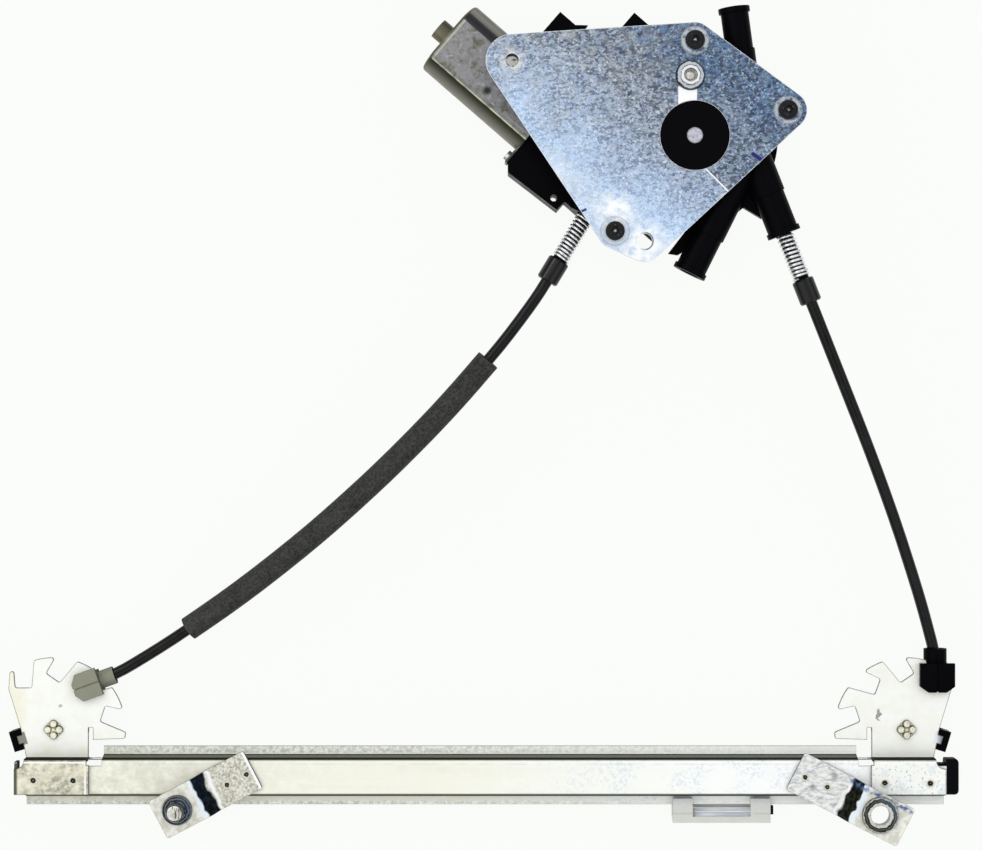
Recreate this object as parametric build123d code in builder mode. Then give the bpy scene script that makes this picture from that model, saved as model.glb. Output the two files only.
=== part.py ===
from build123d import *
import os
from math import atan2, cos, degrees, pi, radians, sin, tan

# Cable-driven window regulator: a rail with a sliding carriage, two end plates that turn the
# cable round pulleys, two cable conduits, and a drum driven by a worm gear motor.
#
# Working frame, in millimetres: X along the rail from its middle, Y from the line through the
# two pulley axes towards the motor, Z up from the floor that the unit lies on.

# ------------------------------------------------------------------ driving sizes
# Layout
span = 428.6                  # between the two pulley axes
rail_drop = 23.1              # rail centre line below the pulley axes
drum_x, drum_y = 105.5, 295.15
motor_angle = -41.0           # direction from the motor's free end towards the worm
cable_z = 7.5                 # height of the cable along the rail
drum_z = 37.0                 # height of the cable at the drum
cable_r = 0.75
running_gap = 0.3             # between parts that move past each other
shaft_gap = 0.05              # radial play of a shaft in its bore

# Rail
sheet = 1.2
web_top = 21.0
hat_height = 10.0
web_half = 8.65
wall_run = 1.9                # how far each sloping wall leans out over the hat's height
rail_half = 14.7
rail_left_past = 13.9         # rail past the left pulley axis
rail_right_past = 19.0
notch_reach = 25.0            # upper flange cut away this far inside a pulley axis
notch_web = 3.0               # the notch's depth into the web

# End plates
plate_sheet = 1.5
fan_r = 36.2
fan_top = 13.5
slot_foot = 21.0              # slot bottom, along the slot from the tangent point
slot_inner = 8.25
slot_outer = 11.3
slot_angles = (90.0, 55.0, 20.0, -18.0)
fold_y = -14.0
tab_left, tab_right = -18.6, 18.8
fan_left, fan_right = -13.8, 17.5
fan_bend, fan_lean = -0.3, 0.182   # the outer edge leans out from the fold up to its bend
shoulder_y, shoulder_r = -18.8, 4.2

# Pulleys and their brackets
groove_r = 15.2               # cable centre line round a pulley
pulley_rim_r = 16.6
pulley_thick = 8.0
pulley_pin_r = 4.0
bracket_base = 3.0
lug_outer_r = 22.0
lug_width = 10.4
outer_lug = 197.0             # direction of the lug that grips the plate's tongue
tongue_r, tongue_width = 18.7, 4.2
hook_notch_r, hook_notch_width = 18.9, 4.6

# Conduits
conduit_r = 2.9
sleeve_r = 6.05
ferrule_r = 5.45
ferrule_length = 12.3
ferrule_wall = 4.0
spring_r = 4.6                # outside
spring_wire = 1.1
spring_pitch = 2.0
left_spring_out = 25.0        # length of spring that shows outside the drum housing
right_spring_out = 24.0
left_clip_angle = 20.0
right_clip_angle = 90.0
left_clip_start, right_clip_start = 16.5, 18.8   # along the slot, from the tangent point
clip_bottom, clip_lower_half, clip_cap = 2.6, 5.6, 3.4
slot_play = 0.45              # between a clip's web and each side of its slot
conduit_cover = 0.6           # clip wall in front of the conduit's end
neck_bore_start = 27.0        # beyond this the conduit starts to bend inside the neck

# Carriage
carriage_x = 121.35
carriage_length = 49.0
carriage_low = 23.55          # lower edge below the rail's centre line
carriage_high = 12.6
shoe_length = 10.0
slider_bottom, slider_top = 3.5, 9.5
lip_top = 15.0
glass_plate_sheet = 2.0
glass_bush_r = 2.5

# Mounting brackets on the rail
bracket_sheet = 1.5
bracket_rise = 6.0
left_bracket = dict(x=-span / 2 + 100.9, y=-19.0, angle=207.7, length=53.0, step=23.4,
                    hole=42.1, half=10.5)
right_bracket = dict(x=span / 2 - 56.7, y=-19.75, angle=-27.1, length=61.0, step=28.6,
                     hole=46.6, half=10.4)
stud_r = 4.4
stud_height = 14.0
stud_collar_r = 7.7
bush_bore_r = 4.8
bush_collar_r = 9.1

# Motor plate
plate_z = 48.0
plate_t = 2.0
plate_lobes = ((-89.7, 36.8, 12.9), (0.0, 46.6, 8.9), (45.6, 12.3, 9.4),
               (-24.7, -51.9, 10.1), (-39.2, -47.0, 8.5))
screw_points = ((0.0, 46.6), (45.6, 12.3), (-39.2, -47.0))
corner_hole, corner_hole_r = (-89.7, 36.8), 3.4
lower_hole, lower_hole_r = (-24.7, -51.9), 3.75
nut_point = (-2.2, 29.4)
nut_flange_r, nut_spigot_r, nut_bore_r = 7.4, 5.1, 3.4
screw_r, screw_head_r, screw_head = 2.5, 4.7, 3.6
rim_r, rim_height = 6.9, 0.5

# Drum and its housing
drum_core_r = 24.6
drum_flange_r = 28.4
drum_flange = 1.8
drum_height = 14.0
wraps = 4
wrap_pitch = 2.3
shaft_r = 3.9
boss_r = 17.0
boss_top = 50.5
housing_r = 33.0
flange_r = 42.5
housing_floor = 27.0
arm_reach = 61.0
arm_step = 38.0               # spring seat, along the arm from the tangent point
arm_root, root_thick = 40.0, 0.7   # each outlet is thicker this far from its tangent point
lip_width = 0.9
lip_length = 2.6
gusset = ((20.0, -20.0), (25.5, -34.3), (34.4, -39.7), (38.0, -30.0))

# Worm gear
module = 1.0
wheel_teeth = 70
worm_pitch_r = 5.0
worm_z = 16.5
wheel_thick = 6.0
worm_turns = 6
tooth_thick = 1.0
gear_case_wall = 5.0
gear_case_top = 4.0
cover_thick = 2.0
tunnel_r = 10.5
worm_chamber_r = 6.7
thread_foot, thread_crest = 0.86, 0.5   # half thickness of the worm's thread

# Motor
can_r = 20.5
can_flat = 16.5
can_length = 63.5
can_wall = 1.6
can_corner = 1.6
can_boss_r, can_boss = 5.3, 7.0
can_flange = 1.2
can_ear_reach = 29.0
can_screw_reach = 25.3
can_screw_r = 1.6
can_screw_depth = 7.0
motor_shaft_r = 2.0
armature_r = 13.0
magnet_inner_r = 13.8
worm_from_end = 125.7         # worm centre from the can's free end
commutator_r = 5.0

# ------------------------------------------------------------------ derived sizes
rail_y = -rail_drop
rail_under = web_top - hat_height - sheet
lean = wall_run / hat_height
groove_x = span / 2
wheel_pitch_r = module * wheel_teeth / 2
worm_distance = wheel_pitch_r + worm_pitch_r
case_r = wheel_pitch_r + module + 1.5
lead = pi * module
worm_length = worm_turns * lead
ux, uy = cos(radians(motor_angle)), sin(radians(motor_angle))
foot = (drum_x + worm_distance * uy, drum_y - worm_distance * ux)
can_end = (foot[0] - worm_from_end * ux, foot[1] - worm_from_end * uy)
motor_plan = Plane(origin=(can_end[0], can_end[1], 0), x_dir=(ux, uy, 0), z_dir=(0, 0, 1))
drum_plan = Plane(origin=(drum_x, drum_y, 0), x_dir=(1, 0, 0), z_dir=(0, 0, 1))
tab_z = web_top + plate_sheet / 2
fan_z = fan_top - plate_sheet / 2
tab_y = rail_y - web_half


def motor_axis(along):
    """A plane square to the motor's axis, so far from the can's free end."""
    origin = (can_end[0] + along * ux, can_end[1] + along * uy, worm_z)
    return Plane(origin=origin, x_dir=(-uy, ux, 0), z_dir=(ux, uy, 0))


motor_line = Axis((can_end[0], can_end[1], worm_z), (ux, uy, 0))


def at_drum(height):
    return drum_plan.offset(height)


def at_pulley(side, height):
    return Plane.XY.offset(height).shift_origin((side * groove_x, 0, height))


class Arm:
    """An outlet of the drum housing, tangent to a circle of the given offset."""

    def __init__(self, angle, offset, side, radius):
        self.direction = Vector(cos(radians(angle)), sin(radians(angle)), 0)
        normal = Vector(sin(radians(angle)), -cos(radians(angle)), 0)
        self.start = Vector(drum_x, drum_y, drum_z) + normal * (side * offset)
        self.radius = radius

    def point(self, along):
        return self.start + self.direction * along

    def plane(self, along):
        side_dir = self.direction.cross(Vector(0, 0, 1))
        return Plane(origin=self.point(along), x_dir=side_dir, z_dir=self.direction)


arm_left = Arm(238.9, 25.4, 1, 7.5)
arm_right = Arm(291.5, 24.5, -1, 7.6)
arm_spare_low = Arm(243.5, 28.0, -1, 7.6)
arm_spare_high = Arm(97.7, 28.5, 1, 6.9)
arms = (arm_left, arm_right, arm_spare_low, arm_spare_high)


def clip_point(side, angle, along):
    """A point on the line that leaves a pulley's groove at its tangent point."""
    a = radians(angle)
    x = groove_r * -sin(a) + along * cos(a)
    y = groove_r * cos(a) + along * sin(a)
    return Vector(side * groove_x + side * -1 * x, y, cable_z)


def left_clip_point(along):
    return clip_point(-1, left_clip_angle, along)


def right_clip_point(along):
    return clip_point(1, right_clip_angle, along)


# ------------------------------------------------------------------ rail
rail_start = -groove_x - rail_left_past
rail_stop = groove_x + rail_right_past
mid_web = web_half - sheet / 2 + lean * sheet / 2
mid_base = mid_web + wall_run
with BuildPart() as rail:
    with BuildSketch(Plane.YZ.offset(rail_start)):
        with BuildLine():
            half = [(rail_half, rail_under + sheet / 2), (mid_base, rail_under + sheet / 2),
                    (mid_web, web_top - sheet / 2)]
            left = [(rail_y - y, z) for y, z in half]
            right = [(rail_y + y, z) for y, z in reversed(half)]
            FilletPolyline(*left, *right, radius=sheet)
        trace(line_width=sheet)
    extrude(amount=rail_stop - rail_start)
    notch_low = rail_y + web_half - notch_web
    for end, sign in ((rail_start, -1), (rail_stop, 1)):
        inner = sign * (groove_x - notch_reach)
        with BuildSketch(Plane.XY.offset(web_top + 1)):
            with Locations(((inner + end) / 2 + sign, notch_low + 20)):
                Rectangle(abs(end - inner) + 2, 40)
        extrude(amount=-hat_height - sheet - 2, mode=Mode.SUBTRACT)


# ------------------------------------------------------------------ end plates
def slot_outline(reach):
    near, far = slot_inner / 2, slot_inner / 2 + (slot_outer - slot_inner) / 2 * reach
    return [(slot_foot, groove_r - near), (fan_r + 8, groove_r - far),
            (fan_r + 8, groove_r + far), (slot_foot, groove_r + near)]


with BuildPart() as left_end_plate:
    with BuildSketch(at_pulley(-1, fan_top - plate_sheet)) as fan:
        with BuildLine():
            lower_right = (35.9, -4.6)
            upper_left = (-22.1, 28.7)
            outer_bend = (fan_left - fan_lean * (fan_bend - fold_y), fan_bend)
            Polyline(upper_left, (-22.7, 20.3), outer_bend, (fan_left, fold_y),
                     (fan_right, fold_y), (fan_right, -5.2), lower_right)
            ThreePointArc(lower_right, (fan_r * cos(radians(60)), fan_r * sin(radians(60))),
                          upper_left)
        make_face()
        with Locations(Location((0, 0, 0), (0, 0, outer_lug))):
            with Locations(((pulley_pin_r + 4 + tongue_r) / 2, 0)):
                Rectangle(tongue_r - pulley_pin_r - 4, tongue_width)
        for angle in slot_angles:
            with Locations(Location((0, 0, 0), (0, 0, angle))):
                Polygon(*slot_outline(1.25), align=None, mode=Mode.SUBTRACT)
        tips = [v for v in fan.vertices() if (v.X ** 2 + v.Y ** 2) ** 0.5 > slot_foot]
        fillet(tips, radius=1.1)
        Circle(pulley_pin_r, mode=Mode.SUBTRACT)
    extrude(amount=plate_sheet)
    with BuildSketch(Plane.YZ.offset(-groove_x + tab_left)):
        with BuildLine():
            FilletPolyline((fold_y + 4, fan_z), (fold_y - plate_sheet / 2, fan_z),
                           (fold_y - plate_sheet / 2, tab_z), (tab_y, tab_z), radius=plate_sheet)
        trace(line_width=plate_sheet)
    extrude(amount=tab_right - tab_left)
    # the tab is wider than the fan, with a round shoulder at its outer end
    with BuildSketch(at_pulley(-1, fan_top - plate_sheet - 1)):
        with BuildLine():
            Polyline((tab_left - 1, shoulder_y), (tab_left - 1, fold_y + 4.1),
                     (fan_left - 4.1 * fan_lean, fold_y + 4.1), (fan_left, fold_y),
                     (fan_left, shoulder_y + shoulder_r))
            RadiusArc((fan_left, shoulder_y + shoulder_r),
                      (fan_left - shoulder_r, shoulder_y), shoulder_r)
            Line((fan_left - shoulder_r, shoulder_y), (tab_left - 1, shoulder_y))
        make_face()
        with Locations(((fan_right + tab_right) / 2 + 0.5, fold_y + 6)):
            Rectangle(tab_right - fan_right + 1, 18)
    extrude(amount=web_top + plate_sheet, mode=Mode.SUBTRACT)
with BuildPart() as right_end_plate:
    mirror(left_end_plate.part, about=Plane.YZ)

# the left plate's tab is turned down over the end of the rail
with BuildPart() as left_end_flange:
    with BuildSketch(Plane.XY.offset(web_top)):
        with Locations((-groove_x + tab_left + plate_sheet / 2, rail_y)):
            Rectangle(plate_sheet, 2 * web_half - 2)
    extrude(amount=-hat_height + 2)
with BuildPart() as left_plate_folded:
    add(left_end_plate.part)
    add(left_end_flange.part)


# ------------------------------------------------------------------ pulleys
pulley_low = cable_z - pulley_thick / 2


def pulley(side):
    with BuildPart() as wheel:
        with BuildSketch(Plane.XZ):
            with BuildLine():
                bottom, top = pulley_low, pulley_low + pulley_thick
                floor_r = groove_r - cable_r - running_gap
                Polyline((pulley_pin_r + shaft_gap, bottom), (pulley_rim_r, bottom),
                         (pulley_rim_r, bottom + 1.6), (floor_r, cable_z - 0.7),
                         (floor_r, cable_z + 0.7), (pulley_rim_r, top - 1.6),
                         (pulley_rim_r, top), (pulley_pin_r + shaft_gap, top), close=True)
            make_face()
        revolve(axis=Axis.Z)
    return Location((side * groove_x, 0, 0)) * wheel.part


with BuildPart() as left_pulley:
    add(pulley(-1))
with BuildPart() as right_pulley:
    add(pulley(1))

rivet_seat = 1.2
lug_inner_r = pulley_rim_r + 1.6


def pulley_bracket(lug_angles):
    with BuildPart() as bracket:
        for low, high, inner in ((0, bracket_base, 0),
                                 (bracket_base, fan_top - plate_sheet, lug_inner_r)):
            with BuildSketch(at_pulley(-1, low)):
                if not inner:
                    Circle(13.0)
                for angle in lug_angles:
                    with Locations(Location((0, 0, 0), (0, 0, angle))):
                        with Locations(((lug_outer_r + inner) / 2, 0)):
                            Rectangle(lug_outer_r - inner, lug_width)
            extrude(amount=high - low)
        # the outer lug hooks round the plate's tongue
        with BuildSketch(at_pulley(-1, fan_top - plate_sheet)):
            with Locations(Location((0, 0, 0), (0, 0, lug_angles[0]))):
                Polygon((15.8, -lug_width / 2), (lug_outer_r, -lug_width / 2),
                        (lug_outer_r, lug_width / 2), (17.0, lug_width / 2), (15.8, -4.5),
                        align=None)
                with Locations((hook_notch_r / 2, 0)):
                    Rectangle(hook_notch_r, hook_notch_width, mode=Mode.SUBTRACT)
        extrude(amount=plate_sheet)
        with BuildSketch(at_pulley(-1, 0)):
            Circle(6.2)
        extrude(amount=rivet_seat, mode=Mode.SUBTRACT)
        with BuildSketch(at_pulley(-1, 0)):
            Circle(pulley_pin_r)
        extrude(amount=bracket_base, mode=Mode.SUBTRACT)
    return bracket.part


with BuildPart() as left_pulley_bracket:
    add(pulley_bracket((outer_lug, 137.0)))
with BuildPart() as right_pulley_bracket:
    mirror(pulley_bracket((outer_lug, 60.0)), about=Plane.YZ)


def pulley_rivet(side):
    with BuildPart() as rivet:
        with BuildSketch(at_pulley(side, 0.2)):
            Circle(6.0)
        extrude(amount=rivet_seat - 0.2)
        with BuildSketch(at_pulley(side, 0.2)):
            Circle(pulley_pin_r)
        extrude(amount=fan_top - 0.2)
        with BuildSketch(at_pulley(side, fan_top)):
            with PolarLocations(2.9, 4):
                Circle(2.1)
            Circle(2.2)
        extrude(amount=1.5, taper=12)
    return rivet.part


with BuildPart() as left_pulley_rivet:
    add(pulley_rivet(-1))
with BuildPart() as right_pulley_rivet:
    add(pulley_rivet(1))


# ------------------------------------------------------------------ brackets on the rail
def mount_bracket(place, hole_r):
    a = radians(place["angle"])
    low = web_top + bracket_sheet / 2
    high = low + bracket_rise
    side_plane = Plane(origin=(place["x"], place["y"], 0), x_dir=(cos(a), sin(a), 0),
                       z_dir=(sin(a), -cos(a), 0))
    top_plane = Plane(origin=(place["x"], place["y"], high - bracket_sheet), z_dir=(0, 0, 1),
                      x_dir=(cos(a), sin(a), 0))
    with BuildPart() as strip:
        with BuildSketch(side_plane):
            with BuildLine():
                FilletPolyline((0, low), (place["step"], low), (place["step"] + 4, high),
                               (place["length"], high), radius=2.2)
            trace(line_width=bracket_sheet)
        extrude(amount=place["half"], both=True)
        fillet(strip.edges().filter_by(Axis.Z), radius=1.5)
        with BuildSketch(top_plane):
            with Locations((place["hole"], 0)):
                Circle(hole_r)
        extrude(amount=3 * bracket_sheet, mode=Mode.SUBTRACT)
    return strip.part


def bracket_hole(place, height):
    a = radians(place["angle"])
    x = place["x"] + place["hole"] * cos(a)
    y = place["y"] + place["hole"] * sin(a)
    return Plane(origin=(x, y, height), x_dir=(cos(a), sin(a), 0), z_dir=(0, 0, 1))


stud_spigot_r = 5.2
bush_spigot_r = 6.4
bracket_top = web_top + bracket_sheet + bracket_rise
with BuildPart() as left_mount_bracket:
    add(mount_bracket(left_bracket, stud_spigot_r))
with BuildPart() as right_mount_bracket:
    add(mount_bracket(right_bracket, bush_spigot_r))

with BuildPart() as left_bracket_stud:
    with BuildSketch(bracket_hole(left_bracket, bracket_top - bracket_sheet - 1.2)):
        Circle(stud_spigot_r)
    extrude(amount=bracket_sheet + 1.2)
    with BuildSketch(bracket_hole(left_bracket, bracket_top)):
        Circle(stud_collar_r)
    extrude(amount=3.2, taper=14)
    with BuildSketch(bracket_hole(left_bracket, bracket_top)):
        Circle(stud_r)
    extrude(amount=stud_height)
    top_rim = left_bracket_stud.faces().sort_by(Axis.Z)[-1].edges()
    fillet(top_rim, radius=1.6)

with BuildPart() as right_bracket_bush:
    with BuildSketch(bracket_hole(right_bracket, bracket_top - bracket_sheet - 2.5)):
        Circle(bush_spigot_r)
    extrude(amount=bracket_sheet + 2.5)
    with BuildSketch(bracket_hole(right_bracket, bracket_top)):
        Circle(bush_collar_r)
    extrude(amount=3.0)
    outer_rim = right_bracket_bush.faces().sort_by(Axis.Z)[-1].edges()
    fillet(outer_rim, radius=1.8)
    with BuildSketch(bracket_hole(right_bracket, bracket_top + 4)):
        Circle(bush_bore_r)
    extrude(amount=-12, mode=Mode.SUBTRACT)

# rubber buffer in the open right end of the rail
plug_top = web_top - sheet
with BuildPart() as end_buffer:
    with BuildSketch(Plane.YZ.offset(rail_stop)):
        with Locations((rail_y, 14.4)):
            RectangleRounded(18.0, 12.8, 2.5)
    extrude(amount=6.4)
    fillet(end_buffer.faces().sort_by(Axis.X)[-1].edges(), radius=2.0)
    with BuildSketch(Plane.YZ.offset(rail_stop - 11)):
        with Locations((rail_y, plug_top - 3.5)):
            Rectangle(2 * (web_half - sheet) - 1.4, 7.0)
    extrude(amount=11)

# ------------------------------------------------------------------ carriage
body_low = rail_y - carriage_low
body_high = rail_y + carriage_high
body_mid = (body_low + body_high) / 2
flange_edge = rail_y - rail_half
foot_wall = rail_y - web_half - wall_run
lip_high = foot_wall - 0.8
lip_bottom = rail_under + sheet + running_gap
nipple_r = 1.95
nipple_length = 7.0
with BuildPart() as carriage_slider:
    with BuildSketch(Plane.XY.offset(slider_bottom)):
        with Locations((carriage_x, body_mid)):
            Rectangle(carriage_length, body_high - body_low)
    extrude(amount=slider_top - slider_bottom)
    fillet(carriage_slider.edges().filter_by(Axis.Z), radius=2.0)
    # outer strip and the two shoes that hook over the rail's lower flange
    wall = 3.0
    edge_gap = flange_edge - running_gap
    with BuildSketch(Plane.XY.offset(slider_top)):
        with Locations((carriage_x, body_low + wall / 2)):
            Rectangle(carriage_length - 0.01, wall)
        for side in (-1, 1):
            with Locations((carriage_x + side * (carriage_length - shoe_length) / 2,
                            (body_low + edge_gap) / 2)):
                Rectangle(shoe_length, edge_gap - body_low)
    extrude(amount=lip_top - slider_top)
    with BuildSketch(Plane.XY.offset(lip_bottom)):
        for side in (-1, 1):
            with Locations((carriage_x + side * (carriage_length - shoe_length) / 2,
                            (body_low + lip_high) / 2)):
                Rectangle(shoe_length, lip_high - body_low)
    extrude(amount=lip_top - lip_bottom)
    # ribs on the floor of the window between the shoes
    with BuildSketch(Plane.XY.offset(slider_top)):
        for y in (body_low + 5.2, body_low + 7.2):
            with Locations((carriage_x, y)):
                Rectangle(carriage_length - 2 * shoe_length, 0.8)
    extrude(amount=1.6)
    # raised keel that runs inside the rail's channel
    keel_half = web_half - sheet - 1.8
    with BuildSketch(Plane.XY.offset(slider_top)):
        with Locations((carriage_x, rail_y - 1.2)):
            Rectangle(carriage_length - 12, 2 * keel_half - 2.4)
    extrude(amount=web_top - sheet - running_gap - slider_top)
    # passage for the cable, and the chamber that holds its two end nipples
    with BuildSketch(Plane.YZ.offset(carriage_x - carriage_length)):
        with Locations((-groove_r, cable_z)):
            Circle(cable_r + running_gap)
    extrude(amount=2 * carriage_length, mode=Mode.SUBTRACT)
    with BuildSketch(Plane.XY.offset(slider_top + 1)):
        with Locations((carriage_x, -groove_r)):
            Rectangle(2 * nipple_length + 2, 2 * nipple_r)
    extrude(amount=-(slider_top + 1 - cable_z) - nipple_r, mode=Mode.SUBTRACT)

with BuildPart() as cable_nipples:
    for side in (-1, 1):
        start = carriage_x + side * (nipple_length / 2 + 0.5) - nipple_length / 2
        with BuildSketch(Plane.YZ.offset(start)):
            with Locations((-groove_r, cable_z)):
                Circle(nipple_r)
                Circle(cable_r + running_gap, mode=Mode.SUBTRACT)
        extrude(amount=nipple_length)

glass_y = body_mid - 6
with BuildPart() as glass_plate:
    with BuildSketch(Plane.XY.offset(slider_bottom - glass_plate_sheet)):
        with Locations((carriage_x, body_mid)):
            RectangleRounded(carriage_length - 5, body_high - body_low - 5, 3.0)
        with Locations((carriage_x, glass_y)):
            Circle(4.5, mode=Mode.SUBTRACT)
    extrude(amount=glass_plate_sheet)
with BuildPart() as glass_bush:
    with BuildSketch(Plane.XY.offset(slider_bottom - glass_plate_sheet)):
        with Locations((carriage_x, glass_y)):
            Circle(4.5)
            Circle(glass_bush_r, mode=Mode.SUBTRACT)
    extrude(amount=glass_plate_sheet)
with BuildPart() as carriage_buffer:
    with BuildSketch(Plane.YZ.offset(carriage_x + carriage_length / 2)):
        with Locations((rail_y - 17.6, 9.8)):
            RectangleRounded(4.4, 5.6, 1.0)
    extrude(amount=1.6)

# ------------------------------------------------------------------ motor plate
with BuildPart() as mounting_plate:
    with BuildSketch(at_drum(plate_z)):
        for x, y, r in plate_lobes:
            with Locations((x, y)):
                Circle(r)
        make_hull()
    extrude(amount=plate_t)
    with BuildSketch(at_drum(plate_z + plate_t)):
        with Locations(*screw_points):
            Circle(rim_r)
    extrude(amount=rim_height, taper=30)
    with BuildSketch(at_drum(plate_z)):
        Circle(boss_r + shaft_gap)
        with Locations(*screw_points):
            Circle(screw_r)
        with Locations(corner_hole):
            Circle(corner_hole_r)
        with Locations(lower_hole):
            Circle(lower_hole_r)
        with Locations(nut_point):
            Circle(nut_spigot_r)
    extrude(amount=plate_t + rim_height, mode=Mode.SUBTRACT)

plate_top = plate_z + plate_t
with BuildPart() as plate_nut:
    with BuildSketch(at_drum(plate_z + 0.2)):
        with Locations(nut_point):
            Circle(nut_spigot_r)
    extrude(amount=plate_t)
    with BuildSketch(at_drum(plate_top)):
        with Locations(nut_point):
            Circle(nut_flange_r)
    extrude(amount=1.4, taper=25)
    with BuildSketch(at_drum(plate_top)):
        with Locations(nut_point):
            RegularPolygon(nut_spigot_r + 0.4, 6)
    extrude(amount=3.0)
    with BuildSketch(at_drum(plate_z)):
        with Locations(nut_point):
            Circle(nut_bore_r)
    extrude(amount=8, mode=Mode.SUBTRACT)

with BuildPart() as plate_screws:
    head_z = plate_top + rim_height
    with BuildSketch(at_drum(head_z)):
        with Locations(*screw_points):
            Circle(screw_head_r)
    extrude(amount=screw_head)
    fillet(plate_screws.faces().sort_by(Axis.Z)[-3:].edges(), radius=1.0)
    with BuildSketch(at_drum(head_z)):
        with Locations(*screw_points):
            Circle(screw_r)
    extrude(amount=-14)
    with BuildSketch(at_drum(head_z + screw_head)):
        with Locations(*screw_points):
            RegularPolygon(2.3, 6)
    extrude(amount=-2.0, mode=Mode.SUBTRACT)

# ------------------------------------------------------------------ drum housing
cavity_r = drum_flange_r + 1.1
cavity_top = drum_z + drum_height / 2 + running_gap
screw_tip = plate_top + rim_height - 14
with BuildPart() as drum_housing:
    with BuildSketch(at_drum(housing_floor)):
        Circle(flange_r)
    extrude(amount=3.5)
    with BuildSketch(at_drum(housing_floor)):
        Circle(housing_r)
    extrude(amount=plate_z - housing_floor)
    with BuildSketch(at_drum(plate_z)):
        Circle(boss_r)
    extrude(amount=boss_top - plate_z)
    for x, y in screw_points:
        with BuildSketch(at_drum(screw_tip - 3)):
            with Locations((x, y)):
                Circle(6.2)
        extrude(amount=plate_z - screw_tip + 3)
        with BuildSketch(at_drum(screw_tip)):
            with Locations((x / 2, y / 2)):
                Rectangle((x * x + y * y) ** 0.5, 4.0, rotation=degrees(atan2(y, x)))
        extrude(amount=plate_z - screw_tip - 2)
    for arm in arms:
        with BuildSketch(arm.plane(0)):
            Circle(arm.radius)
        extrude(amount=arm_reach)
        with BuildSketch(arm.plane(0)):
            Circle(arm.radius + root_thick)
        extrude(amount=arm_root)
        with BuildSketch(arm.plane(arm_reach - lip_length)):
            Circle(arm.radius + lip_width)
        extrude(amount=lip_length)
    with BuildSketch(at_drum(housing_floor)):
        Polygon(*gusset, align=None)
    extrude(amount=6)
    with BuildSketch(at_drum(housing_floor)):
        Circle(cavity_r)
    extrude(amount=cavity_top - housing_floor, mode=Mode.SUBTRACT)
    for arm in arms:
        with BuildSketch(arm.plane(0)):
            Circle(2.2)
        extrude(amount=arm_reach, mode=Mode.SUBTRACT)
        with BuildSketch(arm.plane(arm_step)):
            Circle(spring_r + 0.5)
        extrude(amount=arm_reach, mode=Mode.SUBTRACT)
    with BuildSketch(at_drum(boss_top)):
        Circle(shaft_r + shaft_gap)
    extrude(amount=-20, mode=Mode.SUBTRACT)
    with BuildSketch(at_drum(screw_tip)):
        with Locations(*screw_points):
            Circle(screw_r)
    extrude(amount=plate_z - screw_tip, mode=Mode.SUBTRACT)

# ------------------------------------------------------------------ drum
drum_low = drum_z - drum_height / 2
drum_top = drum_z + drum_height / 2
with BuildPart() as cable_drum:
    with BuildSketch(Plane.XZ):
        with BuildLine():
            Polyline((shaft_r, drum_low), (drum_flange_r, drum_low),
                     (drum_flange_r, drum_low + drum_flange * 0.5),
                     (drum_core_r, drum_low + drum_flange),
                     (drum_core_r, drum_top - drum_flange),
                     (drum_flange_r, drum_top - drum_flange * 0.5),
                     (drum_flange_r, drum_top), (shaft_r, drum_top), close=True)
        make_face()
    revolve(axis=Axis.Z)
    with BuildSketch(Plane.XY.offset(drum_low)):
        with PolarLocations(14.5, 6):
            Circle(5.0)
    extrude(amount=drum_height - 3, mode=Mode.SUBTRACT)
    drum_moved = Location((drum_x, drum_y, 0)) * cable_drum.part
with BuildPart() as drum_placed:
    add(drum_moved)
with BuildPart() as cable_wraps:
    for turn in range(wraps):
        height = drum_z + (turn - (wraps - 1) / 2) * wrap_pitch
        with BuildSketch(at_drum(height - cable_r)):
            Circle(drum_core_r + 2 * cable_r)
            Circle(drum_core_r, mode=Mode.SUBTRACT)
        extrude(amount=2 * cable_r)

shaft_low = cover_thick + 1.0
with BuildPart() as drum_shaft:
    with BuildSketch(at_drum(shaft_low)):
        Circle(shaft_r)
    extrude(amount=boss_top + 0.5 - shaft_low)
    chamfer(drum_shaft.faces().sort_by(Axis.Z)[-1].edges(), length=0.5)

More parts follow.
